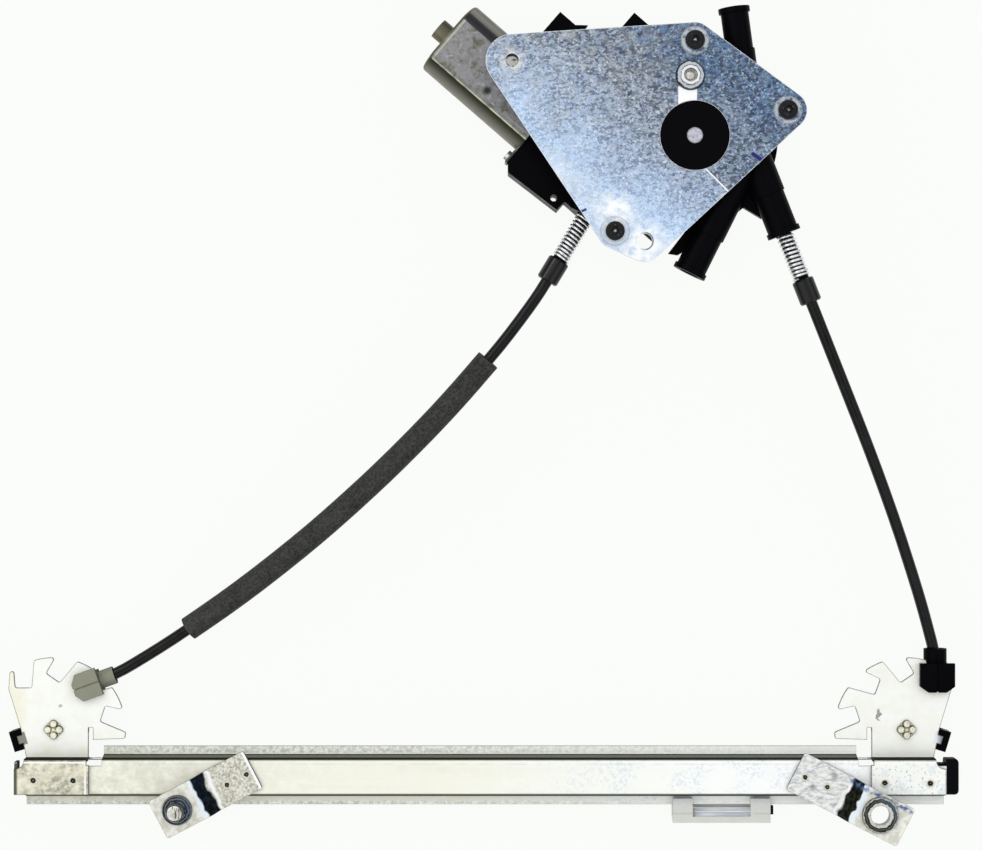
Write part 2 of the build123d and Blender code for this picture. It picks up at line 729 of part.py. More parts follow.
# ------------------------------------------------------------------ gear case
case_low = cover_thick
case_high = housing_floor
seat_outer_r = 4.6
block_side = 28.0
block_in, block_out = can_length, 98.0
bearing_end = worm_from_end + worm_length / 2 + 13.0
with BuildPart() as gear_housing:
    with BuildSketch(at_drum(case_low)):
        Circle(case_r + gear_case_wall)
    extrude(amount=case_high - case_low)
    with BuildSketch(motor_plan.offset(case_low + 2)):
        with BuildLine():
            Polyline((block_in, block_side), (block_in, -28.1), (block_in + 3.8, -32.3),
                     (block_out, -30.5), (block_out, -24.9), (block_out + 14, -24.9),
                     (block_out + 26, -10), (block_out + 30, 20), (block_in + 30, block_side),
                     close=True)
        make_face()
        with Locations((92.8, -27.0)):
            Circle(1.7, mode=Mode.SUBTRACT)
    extrude(amount=case_high - case_low - 2)
    with BuildSketch(motor_axis(block_out - 5)):
        Circle(tunnel_r)
    extrude(amount=bearing_end + 5 - block_out)
    # room for the worm wheel, the worm, the commutator and its brushes
    with BuildSketch(at_drum(case_low)):
        Circle(case_r)
    extrude(amount=case_high - gear_case_top - case_low, mode=Mode.SUBTRACT)
    with BuildSketch(motor_axis(worm_from_end - worm_length / 2 - 5)):
        Circle(worm_chamber_r)
    extrude(amount=worm_length + 10, mode=Mode.SUBTRACT)
    with BuildSketch(motor_axis(block_in)):
        Circle(9.0)
    extrude(amount=20, mode=Mode.SUBTRACT)
    with BuildSketch(motor_axis(block_in + 3)):
        Rectangle(46, 9)
    extrude(amount=12, mode=Mode.SUBTRACT)
    with BuildSketch(motor_axis(block_in + 20)):
        Circle(seat_outer_r)
    extrude(amount=9, mode=Mode.SUBTRACT)
    with BuildSketch(motor_axis(block_in + 20)):
        Circle(motor_shaft_r + 1.0)
    extrude(amount=50, mode=Mode.SUBTRACT)
    with BuildSketch(motor_axis(bearing_end - 8)):
        Circle(seat_outer_r)
    extrude(amount=6, mode=Mode.SUBTRACT)
    with BuildSketch(motor_axis(worm_from_end)):
        Circle(motor_shaft_r + 1.0)
    extrude(amount=bearing_end - 2 - worm_from_end, mode=Mode.SUBTRACT)
    with BuildSketch(at_drum(case_high)):
        Circle(shaft_r + shaft_gap)
    extrude(amount=-gear_case_top, mode=Mode.SUBTRACT)
    with BuildSketch(motor_axis(block_in)):
        with Locations((-can_screw_reach, 0), (can_screw_reach, 0)):
            Circle(can_screw_r)
    extrude(amount=can_screw_depth, mode=Mode.SUBTRACT)
    with BuildSketch(at_drum(case_low)):
        with PolarLocations(case_r + gear_case_wall / 2, 4, start_angle=0):
            Circle(1.25)
    extrude(amount=6, mode=Mode.SUBTRACT)

with BuildPart() as gear_cover:
    with BuildSketch(at_drum(0)):
        Circle(case_r + gear_case_wall)
    extrude(amount=cover_thick)
    with BuildSketch(at_drum(cover_thick)):
        Circle(9.0)
    extrude(amount=6.0)
    with BuildSketch(at_drum(shaft_low)):
        Circle(shaft_r + shaft_gap)
    extrude(amount=20, mode=Mode.SUBTRACT)
    with BuildSketch(at_drum(0)):
        with PolarLocations(case_r + gear_case_wall / 2, 4, start_angle=0):
            Circle(1.25)
    extrude(amount=cover_thick, mode=Mode.SUBTRACT)
    with BuildSketch(at_drum(0)):
        with PolarLocations(case_r + gear_case_wall / 2, 4, start_angle=0):
            Circle(2.4)
    extrude(amount=1.2, mode=Mode.SUBTRACT)

with BuildPart() as cover_screws:
    with BuildSketch(at_drum(0.2)):
        with PolarLocations(case_r + gear_case_wall / 2, 4, start_angle=0):
            Circle(2.4)
    extrude(amount=1.0)
    with BuildSketch(at_drum(0.2)):
        with PolarLocations(case_r + gear_case_wall / 2, 4, start_angle=0):
            Circle(1.25)
    extrude(amount=6.8)

# ------------------------------------------------------------------ worm wheel
wheel_tip_r = wheel_pitch_r + 0.9 * module
wheel_root_r = wheel_pitch_r - 1.2 * module
wheel_low = worm_z - wheel_thick / 2
mesh_angle = degrees(atan2(foot[1] - drum_y, foot[0] - drum_x))
damper_outer_r, damper_inner_r = 21.0, 14.0
tooth_step = 360.0 / wheel_teeth
with BuildPart() as worm_wheel:
    with BuildSketch(at_drum(wheel_low)):
        Circle(wheel_root_r)
        with PolarLocations(0, wheel_teeth, start_angle=mesh_angle + tooth_step / 2):
            slope = tan(radians(20)) * module
            Polygon((wheel_root_r - 0.5, -tooth_thick / 2 - slope),
                    (wheel_tip_r, -tooth_thick / 2 + slope),
                    (wheel_tip_r, tooth_thick / 2 - slope),
                    (wheel_root_r - 0.5, tooth_thick / 2 + slope), align=None)
        Circle(damper_outer_r, mode=Mode.SUBTRACT)
    extrude(amount=wheel_thick)

with BuildPart() as damper:
    with BuildSketch(at_drum(wheel_low)):
        Circle(damper_outer_r)
        Circle(damper_inner_r, mode=Mode.SUBTRACT)
    extrude(amount=wheel_thick)
with BuildPart() as drum_driver:
    with BuildSketch(at_drum(wheel_low)):
        Circle(damper_inner_r)
        Circle(shaft_r, mode=Mode.SUBTRACT)
    extrude(amount=wheel_thick)

# ------------------------------------------------------------------ armature and worm
worm_start = worm_from_end - worm_length / 2
worm_root_r = worm_pitch_r - 1.2 * module
worm_crest_r = worm_pitch_r + 0.9 * module
with BuildPart() as thread:
    with BuildLine():
        turns = Helix(lead, worm_length, worm_root_r)
    with BuildSketch(Plane.XZ):
        inside = worm_root_r - 0.4
        Polygon((inside, -thread_foot), (worm_crest_r, -thread_crest),
                (worm_crest_r, thread_crest), (inside, thread_foot), align=None)
    sweep(path=turns, is_frenet=True)
worm_thread = motor_axis(worm_start).location * thread.part
with BuildPart() as worm_shaft:
    with BuildSketch(motor_axis(-can_boss + 1.5)):
        Circle(motor_shaft_r)
    extrude(amount=bearing_end - 3 + can_boss - 1.5)
    with BuildSketch(motor_axis(worm_start - 1.5)):
        Circle(worm_root_r)
    extrude(amount=worm_length + 3)
    add(worm_thread)

armature_from, armature_to = 20.0, 48.0
with BuildPart() as armature_core:
    with BuildSketch(motor_axis(armature_from)):
        Circle(armature_r)
        Circle(motor_shaft_r, mode=Mode.SUBTRACT)
        with PolarLocations(armature_r - 2.5, 8):
            Rectangle(6.0, 2.4, mode=Mode.SUBTRACT)
    extrude(amount=armature_to - armature_from)
with BuildPart() as armature_windings:
    for start in (armature_from - 5, armature_to):
        with BuildSketch(motor_axis(start)):
            Circle(armature_r - 1.2)
            Circle(motor_shaft_r + 1.5, mode=Mode.SUBTRACT)
        extrude(amount=5)
with BuildPart() as commutator:
    with BuildSketch(motor_axis(armature_to + 5)):
        Circle(commutator_r)
        Circle(motor_shaft_r, mode=Mode.SUBTRACT)
    extrude(amount=block_in + 16 - armature_to - 5)

# ------------------------------------------------------------------ motor can
with BuildPart() as motor_can:
    with BuildSketch(motor_axis(0)) as can_end_face:
        Circle(can_r)
        Rectangle(2 * can_r, 2 * can_flat, mode=Mode.INTERSECT)
        fillet(can_end_face.vertices(), radius=can_corner)
    extrude(amount=can_length)
    fillet(motor_can.faces().sort_by(motor_line)[0].edges(), radius=can_corner)
    with BuildSketch(motor_axis(can_length - can_flange)):
        Rectangle(2 * can_ear_reach, 18)
        with Locations((-can_screw_reach, 0), (can_screw_reach, 0)):
            Circle(can_screw_r, mode=Mode.SUBTRACT)
    extrude(amount=can_flange)
    with BuildSketch(motor_axis(-can_boss)):
        Circle(can_boss_r)
    extrude(amount=can_boss + can_wall)
    with BuildSketch(motor_axis(can_wall)):
        Circle(can_r - can_wall)
        Rectangle(2 * can_r, 2 * (can_flat - can_wall), mode=Mode.INTERSECT)
    extrude(amount=can_length, mode=Mode.SUBTRACT)
    with BuildSketch(motor_axis(-can_boss + 1.2)):
        Circle(can_boss_r - 1.4)
    extrude(amount=can_boss + can_wall, mode=Mode.SUBTRACT)
with BuildPart() as can_bearing:
    with BuildSketch(motor_axis(-can_boss + 1.2)):
        Circle(can_boss_r - 1.4)
        Circle(motor_shaft_r + shaft_gap, mode=Mode.SUBTRACT)
    extrude(amount=can_boss + can_wall - 1.2)
with BuildPart() as worm_bearings:
    with BuildSketch(motor_axis(block_in + 20)):
        Circle(seat_outer_r)
        Circle(motor_shaft_r + shaft_gap, mode=Mode.SUBTRACT)
    extrude(amount=9)
    with BuildSketch(motor_axis(bearing_end - 8)):
        Circle(seat_outer_r)
        Circle(motor_shaft_r + shaft_gap, mode=Mode.SUBTRACT)
    extrude(amount=6)
with BuildPart() as magnets:
    with BuildSketch(motor_axis(14)):
        Circle(can_r - can_wall)
        Circle(magnet_inner_r, mode=Mode.SUBTRACT)
        Rectangle(2 * can_r, 16, mode=Mode.INTERSECT)
    extrude(amount=38)
with BuildPart() as can_screws:
    for side in (-can_screw_reach, can_screw_reach):
        with BuildSketch(motor_axis(can_length - can_flange)):
            with Locations((side, 0)):
                Circle(2.6)
        extrude(amount=-2.0)
        with BuildSketch(motor_axis(can_length - can_flange)):
            with Locations((side, 0)):
                Circle(can_screw_r)
        extrude(amount=can_flange + can_screw_depth)

brush_at = block_in + 4
with BuildPart() as brushes:
    for side in (-1, 1):
        with BuildSketch(motor_axis(brush_at)):
            with Locations((side * (commutator_r + running_gap + 4.5), 0)):
                Rectangle(9.0, 4.6)
        extrude(amount=6)
with BuildPart() as brush_springs:
    for side in (-1, 1):
        start = commutator_r + running_gap + 9.0
        with BuildSketch(motor_axis(brush_at)):
            with Locations((side * (start + (23 - start) / 2), 0)):
                Rectangle(23 - start, 3.0)
        extrude(amount=6)

# ------------------------------------------------------------------ plug socket
plug_in = 34.4
socket_low, socket_high = can_ear_reach + 1, 45.2
lead_room = 69.0              # side of the block that takes the plug's wires
socket_mid = (socket_low + socket_high) / 2
with BuildPart() as plug_housing:
    with BuildSketch(motor_plan.offset(5)):
        with BuildLine():
            Polyline((block_in, block_side), (block_in, socket_low), (62.6, socket_low),
                     (62.6, lead_room), (88.0, lead_room), (100.0, 62.0), (100.0, block_side),
                     close=True)
        make_face()
    extrude(amount=22)
    with BuildSketch(motor_plan.offset(8)):
        with Locations(((plug_in + block_in) / 2, socket_mid)):
            Rectangle(block_in - plug_in, socket_high - socket_low)
    extrude(amount=18)
    # nib that latches the plug
    with BuildSketch(motor_plan.offset(20)):
        Polygon((plug_in + 10, socket_high), (plug_in + 15, socket_high),
                (plug_in + 14.8, socket_high + 4.0), align=None)
    extrude(amount=6)
    with BuildSketch(at_drum(4)):
        Circle(case_r + gear_case_wall)
    extrude(amount=30, mode=Mode.SUBTRACT)
    with BuildSketch(motor_axis(plug_in)):
        with Locations((socket_mid, 17 - worm_z)):
            Rectangle(socket_high - socket_low - 3.6, 14.4)
    extrude(amount=20, mode=Mode.SUBTRACT)
with BuildPart() as plug_pins:
    with BuildSketch(motor_axis(plug_in + 20)):
        with GridLocations(4.4, 4.4, 3, 2):
            with Locations((socket_mid, 17 - worm_z)):
                Rectangle(1.6, 0.8)
    extrude(amount=-12)

# ------------------------------------------------------------------ springs and ferrules
def arm_spring(arm, out):
    """Helical spring from its seat in the arm to the ferrule."""
    length = arm_reach - arm_step + out
    mean_r = spring_r - spring_wire / 2
    with BuildPart() as coil:
        with BuildLine():
            path = Helix(spring_pitch, length - spring_wire, mean_r,
                         center=(0, 0, spring_wire / 2))
        with BuildSketch(Plane(origin=path @ 0, z_dir=path % 0)):
            Rectangle(spring_wire * 0.85, spring_wire * 0.85)
        sweep(path=path, is_frenet=True)
    return arm.plane(arm_step).location * coil.part


def arm_ferrule(arm, out):
    start = arm_reach + out
    with BuildPart() as cap:
        with BuildSketch(arm.plane(start)):
            Circle(ferrule_r)
        extrude(amount=ferrule_length)
        chamfer(cap.edges().filter_by(GeomType.CIRCLE), length=0.7)
        with BuildSketch(arm.plane(start + ferrule_wall)):
            Circle(conduit_r)
        extrude(amount=ferrule_length, mode=Mode.SUBTRACT)
        with BuildSketch(arm.plane(start)):
            Circle(cable_r)
        extrude(amount=ferrule_wall, mode=Mode.SUBTRACT)
    return cap.part


with BuildPart() as left_spring:
    add(arm_spring(arm_left, left_spring_out))
with BuildPart() as right_spring:
    add(arm_spring(arm_right, right_spring_out))
with BuildPart() as left_ferrule:
    add(arm_ferrule(arm_left, left_spring_out))
with BuildPart() as right_ferrule:
    add(arm_ferrule(arm_right, right_spring_out))

# ------------------------------------------------------------------ conduits
left_start = arm_reach + left_spring_out + ferrule_wall
right_start = arm_reach + right_spring_out + ferrule_wall
left_route = [arm_left.point(left_start), arm_left.point(left_start + 16.7),
              Vector(12.2, 194.6, 36.2), Vector(-16.8, 161.0, 32.5), Vector(-48.3, 129.2, 27.0),
              Vector(-83.0, 98.0, 21.0), Vector(-120.5, 68.5, 15.0), Vector(-157.7, 43.0, 10.0),
              left_clip_point(38.5), left_clip_point(left_clip_start + conduit_cover)]
right_route = [arm_right.point(right_start), arm_right.point(right_start + 18.0),
               Vector(178.9, 176.3, 35.5), Vector(194.2, 139.4, 29.5), Vector(208.8, 102.0, 20.5),
               Vector(221.9, 64.0, 11.5), right_clip_point(37.0),
               right_clip_point(right_clip_start + conduit_cover)]


def bend_radii(route):
    radii = []
    for before, at, after in zip(route, route[1:], route[2:]):
        run_in, run_out = at - before, after - at
        turn = radians(run_in.get_angle(run_out))
        radii.append(0.45 * min(run_in.length, run_out.length) / tan(turn / 2))
    return radii


def tube(route, outer, first=None, last=None, inner=0.0):
    """A round tube along the route; first and last pick out some of the path's edges."""
    with BuildPart() as run:
        with BuildLine() as line:
            FilletPolyline(*route, radius=bend_radii(route))
        edges = line.wires()[0].edges()[first:last]
        path = Wire(edges)
        with BuildSketch(Plane(origin=path @ 0, z_dir=path % 0)):
            Circle(outer)
            if inner:
                Circle(inner, mode=Mode.SUBTRACT)
        sweep(path=path)
    return run.part


with BuildPart() as left_conduit:
    add(tube(left_route, conduit_r))
with BuildPart() as right_conduit:
    add(tube(right_route, conduit_r))
with BuildPart() as left_sleeve:
    add(tube(left_route, sleeve_r, first=4, last=13, inner=conduit_r))


# ------------------------------------------------------------------ conduit clips
def conduit_clip(side, angle, begin, end, neck_to, body_half, neck_r, neck_room):
    a = radians(angle)
    out = Vector(-side * cos(a), sin(a), 0)
    foot_point = clip_point(side, angle, 0)
    plan = Plane(origin=(foot_point.X, foot_point.Y, 0), x_dir=out, z_dir=(0, 0, 1))
    with BuildPart() as clip:
        # lower block under the plate, web through the slot, and the cap above the plate
        with BuildSketch(plan.offset(clip_bottom)):
            with Locations(((begin + end) / 2, 0)):
                Rectangle(end - begin, 2 * clip_lower_half)
        extrude(amount=fan_top - plate_sheet - clip_bottom)
        with BuildSketch(plan.offset(fan_top - plate_sheet)):
            with Locations(((slot_foot + slot_play + end) / 2, 0)):
                Rectangle(end - slot_foot - slot_play, slot_inner - 2 * slot_play)
        extrude(amount=plate_sheet)
        with BuildSketch(plan.offset(fan_top)):
            with BuildLine():
                Polyline((begin + 3, body_half), (end, body_half), (end, -body_half),
                         (begin + 3, -body_half), (begin, -body_half + 4.2), (begin, -0.7),
                         (begin + 0.9, 0), (begin, 0.7), (begin, body_half - 4.2), close=True)
            make_face()
        extrude(amount=clip_cap)
        with BuildSketch(plan.offset(fan_top + clip_cap)):
            with Locations(((begin + end) / 2, 0)):
                Rectangle(end - begin + 1, 0.7)
        extrude(amount=-0.5, mode=Mode.SUBTRACT)
        axis_plane = Plane(origin=clip_point(side, angle, begin), z_dir=out)
        with BuildSketch(axis_plane.offset(end - begin)):
            Circle(neck_r)
        extrude(amount=neck_to - end)
        with BuildSketch(axis_plane.offset(conduit_cover)):
            Circle(conduit_r)
        extrude(amount=neck_to, mode=Mode.SUBTRACT)
        with BuildSketch(axis_plane.offset(neck_bore_start - begin)):
            Circle(conduit_r + neck_room)
        extrude(amount=neck_to, mode=Mode.SUBTRACT)
        with BuildSketch(axis_plane):
            Circle(cable_r)
        extrude(amount=conduit_cover, mode=Mode.SUBTRACT)
    return clip.part


with BuildPart() as left_conduit_clip:
    add(conduit_clip(-1, left_clip_angle, left_clip_start, left_clip_start + 13.5,
                     left_clip_start + 21.0, 7.05, 4.5, 0.9))
with BuildPart() as right_conduit_clip:
    add(conduit_clip(1, right_clip_angle, right_clip_start, right_clip_start + 14.6,
                     right_clip_start + 21.6, 8.75, 5.8, 1.8))

# ------------------------------------------------------------------ inner cables
with BuildPart() as rail_cable:
    with BuildLine() as loop:
        l_in = Line(left_clip_point(left_clip_start + conduit_cover), left_clip_point(0))
        l_turn = JernArc(start=l_in @ 1, tangent=l_in % 1, radius=groove_r,
                         arc_size=270 - 90 - left_clip_angle)
        along = Line(l_turn @ 1, Vector(groove_x, -groove_r, cable_z))
        r_turn = JernArc(start=along @ 1, tangent=along % 1, radius=groove_r, arc_size=90)
        Line(r_turn @ 1, right_clip_point(right_clip_start + conduit_cover))
    with BuildSketch(Plane(origin=l_in @ 0, z_dir=l_in % 0)):
        Circle(cable_r)
    sweep(path=loop.wires()[0])


def drum_cable(arm, out):
    start = cavity_r * 0.9
    with BuildPart() as run:
        with BuildSketch(arm.plane(start)):
            Circle(cable_r)
        extrude(amount=arm_reach + out + ferrule_wall - start)
    return run.part


with BuildPart() as left_drum_cable:
    add(drum_cable(arm_left, left_spring_out))
with BuildPart() as right_drum_cable:
    add(drum_cable(arm_right, right_spring_out))

# ------------------------------------------------------------------ export
pieces = {
    "rail": rail, "left_end_plate": left_plate_folded, "right_end_plate": right_end_plate,
    "left_pulley": left_pulley, "right_pulley": right_pulley,
    "left_pulley_bracket": left_pulley_bracket, "right_pulley_bracket": right_pulley_bracket,
    "left_pulley_rivet": left_pulley_rivet, "right_pulley_rivet": right_pulley_rivet,
    "left_mount_bracket": left_mount_bracket, "right_mount_bracket": right_mount_bracket,
    "left_bracket_stud": left_bracket_stud, "right_bracket_bush": right_bracket_bush,
    "end_buffer": end_buffer, "carriage_slider": carriage_slider,
    "cable_nipples": cable_nipples, "glass_plate": glass_plate, "glass_bush": glass_bush,
    "carriage_buffer": carriage_buffer, "mounting_plate": mounting_plate,
    "plate_nut": plate_nut, "plate_screws": plate_screws, "drum_housing": drum_housing,
    "cable_drum": drum_placed, "cable_wraps": cable_wraps, "drum_shaft": drum_shaft,
    "gear_housing": gear_housing, "gear_cover": gear_cover, "cover_screws": cover_screws,
    "worm_wheel": worm_wheel, "damper": damper, "drum_driver": drum_driver,
    "worm_shaft": worm_shaft, "armature_core": armature_core,
    "armature_windings": armature_windings, "commutator": commutator, "motor_can": motor_can,
    "can_bearing": can_bearing, "worm_bearings": worm_bearings, "magnets": magnets,
    "can_screws": can_screws, "brushes": brushes, "brush_springs": brush_springs,
    "plug_housing": plug_housing, "plug_pins": plug_pins, "left_spring": left_spring,
    "right_spring": right_spring, "left_ferrule": left_ferrule, "right_ferrule": right_ferrule,
    "left_conduit": left_conduit, "right_conduit": right_conduit, "left_sleeve": left_sleeve,
    "left_conduit_clip": left_conduit_clip, "right_conduit_clip": right_conduit_clip,
    "rail_cable": rail_cable, "left_drum_cable": left_drum_cable,
    "right_drum_cable": right_drum_cable,
}

# The finished frame has its origin at the middle of the underside of the whole unit.
whole = Compound(children=[Compound(builder.part.wrapped) for builder in pieces.values()])
box = whole.bounding_box()
shift = Vector(-box.center().X, -box.center().Y, -box.min.Z)
os.makedirs("parts", exist_ok=True)
for label, builder in pieces.items():
    part = Location(shift) * builder.part
    part.label = label
    export_step(part, f"parts/{label}.step")
print("bend radii", [round(r) for r in bend_radii(left_route)],
      [round(r) for r in bend_radii(right_route)])
print("unit", [round(v, 1) for v in box.size], "shift", [round(v, 2) for v in shift])
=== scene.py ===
from math import atan2, cos, hypot, pi, radians, sin
import bmesh
import bpy
from mathutils import Matrix, Vector


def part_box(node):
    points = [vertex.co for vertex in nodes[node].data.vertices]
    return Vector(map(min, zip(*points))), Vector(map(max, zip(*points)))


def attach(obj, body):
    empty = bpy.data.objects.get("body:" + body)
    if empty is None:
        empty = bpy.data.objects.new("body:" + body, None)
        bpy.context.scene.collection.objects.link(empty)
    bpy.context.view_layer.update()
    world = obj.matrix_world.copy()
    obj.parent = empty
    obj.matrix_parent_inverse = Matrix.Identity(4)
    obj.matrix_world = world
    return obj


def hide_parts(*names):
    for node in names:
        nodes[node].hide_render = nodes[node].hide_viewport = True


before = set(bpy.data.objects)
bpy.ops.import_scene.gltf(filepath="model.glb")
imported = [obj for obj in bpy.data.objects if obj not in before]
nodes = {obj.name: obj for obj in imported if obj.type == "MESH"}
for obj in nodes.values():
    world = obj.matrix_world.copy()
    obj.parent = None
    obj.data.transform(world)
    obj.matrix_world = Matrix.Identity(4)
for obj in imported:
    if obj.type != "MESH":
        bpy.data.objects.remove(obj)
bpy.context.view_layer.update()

MM = 0.001


def middle(node):
    low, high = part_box(node)
    return (Vector(low) + Vector(high)) / 2


# ---------------------------------------------------------------- places on the unit
# Everything is placed from the left pulley's axis, in millimetres: x along the rail,
# y towards the motor, z up from the floor.
left_axis = middle("left_pulley")
left_axis.z = 0


def at(x, y, z=0.0):
    return left_axis + Vector((x, y, z)) * MM


SPAN = 428.6                    # from one pulley's axis to the other's
RAIL_Y = -23.1                  # middle of the rail
SLIDER = (336.9, -38.0)
DRUM = (319.8, 295.15)
CAN_FOOT, CAN_TURN = (198.8, 344.6), radians(-41.0)
PLATE_SCREWS = ((319.8, 341.75), (365.4, 307.45), (280.6, 248.15))
CORNER_HOLE, LOWER_HOLE = (230.1, 331.95), (295.1, 243.25)
STUD, BUSH, NUT = map(middle, ("left_bracket_stud", "right_bracket_bush", "plate_nut"))
MIDDLE_OF_VIEW = (219.8, 153.05)
# where each mounting strip starts on the rail and how it is turned
STRIPS = {"left_mount_bracket": (100.9, -19.0, radians(207.7)),
          "right_mount_bracket": (SPAN - 56.7, -19.75, radians(-27.1))}
# weld marks on each sheet
WELDS = {"left_end_plate": ((-9.0, -24.5), (10.9, -24.7)),
         "right_end_plate": ((SPAN - 12.0, -25.9), (SPAN + 10.7, -25.9)),
         "left_mount_bracket": ((87.9, -26.8), (97.6, -21.5)),
         "right_mount_bracket": ((376.8, -22.9), (387.9, -27.9))}


def shade(red, green, blue):
    """A colour given as it shows, 0 to 255, turned into the value a shader takes."""
    return tuple((c / 255 / 12.92) if c < 10.3 else ((c / 255 + 0.055) / 1.055) ** 2.4
                 for c in (red, green, blue))


def linked(name, data):
    """A new object of the scene, at the origin."""
    piece = bpy.data.objects.new(name, data)
    bpy.context.collection.objects.link(piece)
    return piece


class Nodes:
    """Short ways to add nodes to a tree and to join them."""

    def __init__(self, tree):
        self.tree = tree

    def feed(self, socket, value):
        if isinstance(value, bpy.types.NodeSocket):
            self.tree.links.new(value, socket)
        elif isinstance(value, (tuple, list)) and len(value) == 3 and socket.type == "RGBA":
            socket.default_value = (*value, 1.0)
        else:
            socket.default_value = value

    def node(self, kind, settings=None, **inputs):
        made = self.tree.nodes.new(kind)
        for name, value in (settings or {}).items():
            setattr(made, name, value)
        for name, value in inputs.items():
            self.feed(made.inputs[name.replace("_", " ")], value)
        return made

    def math(self, way, one, other=0.0):
        made = self.node("ShaderNodeMath", {"operation": way})
        self.feed(made.inputs[0], one)
        self.feed(made.inputs[1], other)
        return made.outputs[0]

    def plus(self, one, other):
        return self.math("ADD", one, other)

    def minus(self, one, other):
        return self.math("SUBTRACT", one, other)

    def size(self, value):
        return self.math("ABSOLUTE", value)

    def times(self, first, *others):
        for other in others:
            first = self.math("MULTIPLY", first, other)
        return first

    def ramp(self, value, *stops):
        """Colours at their places between 0 and 1, blended in between."""
        made = self.node("ShaderNodeValToRGB", Fac=value)
        band = made.color_ramp
        while len(band.elements) < len(stops):
            band.elements.new(0.5)
        for element, (spot, color) in zip(band.elements, stops):
            element.position = spot
            element.color = (*color, 1)
        return made.outputs["Color"]

    def span(self, value, low, high, out_low=0.0, out_high=1.0):
        return self.node("ShaderNodeMapRange", Value=value, From_Min=low, From_Max=high,
                         To_Min=out_low, To_Max=out_high).outputs["Result"]

    def mix(self, amount, one, other, way="MIX"):
        made = self.node("ShaderNodeMix", {"data_type": "RGBA", "blend_type": way},
                         Factor=amount)
        self.feed(made.inputs[6], one)
        self.feed(made.inputs[7], other)
        return made.outputs[2]


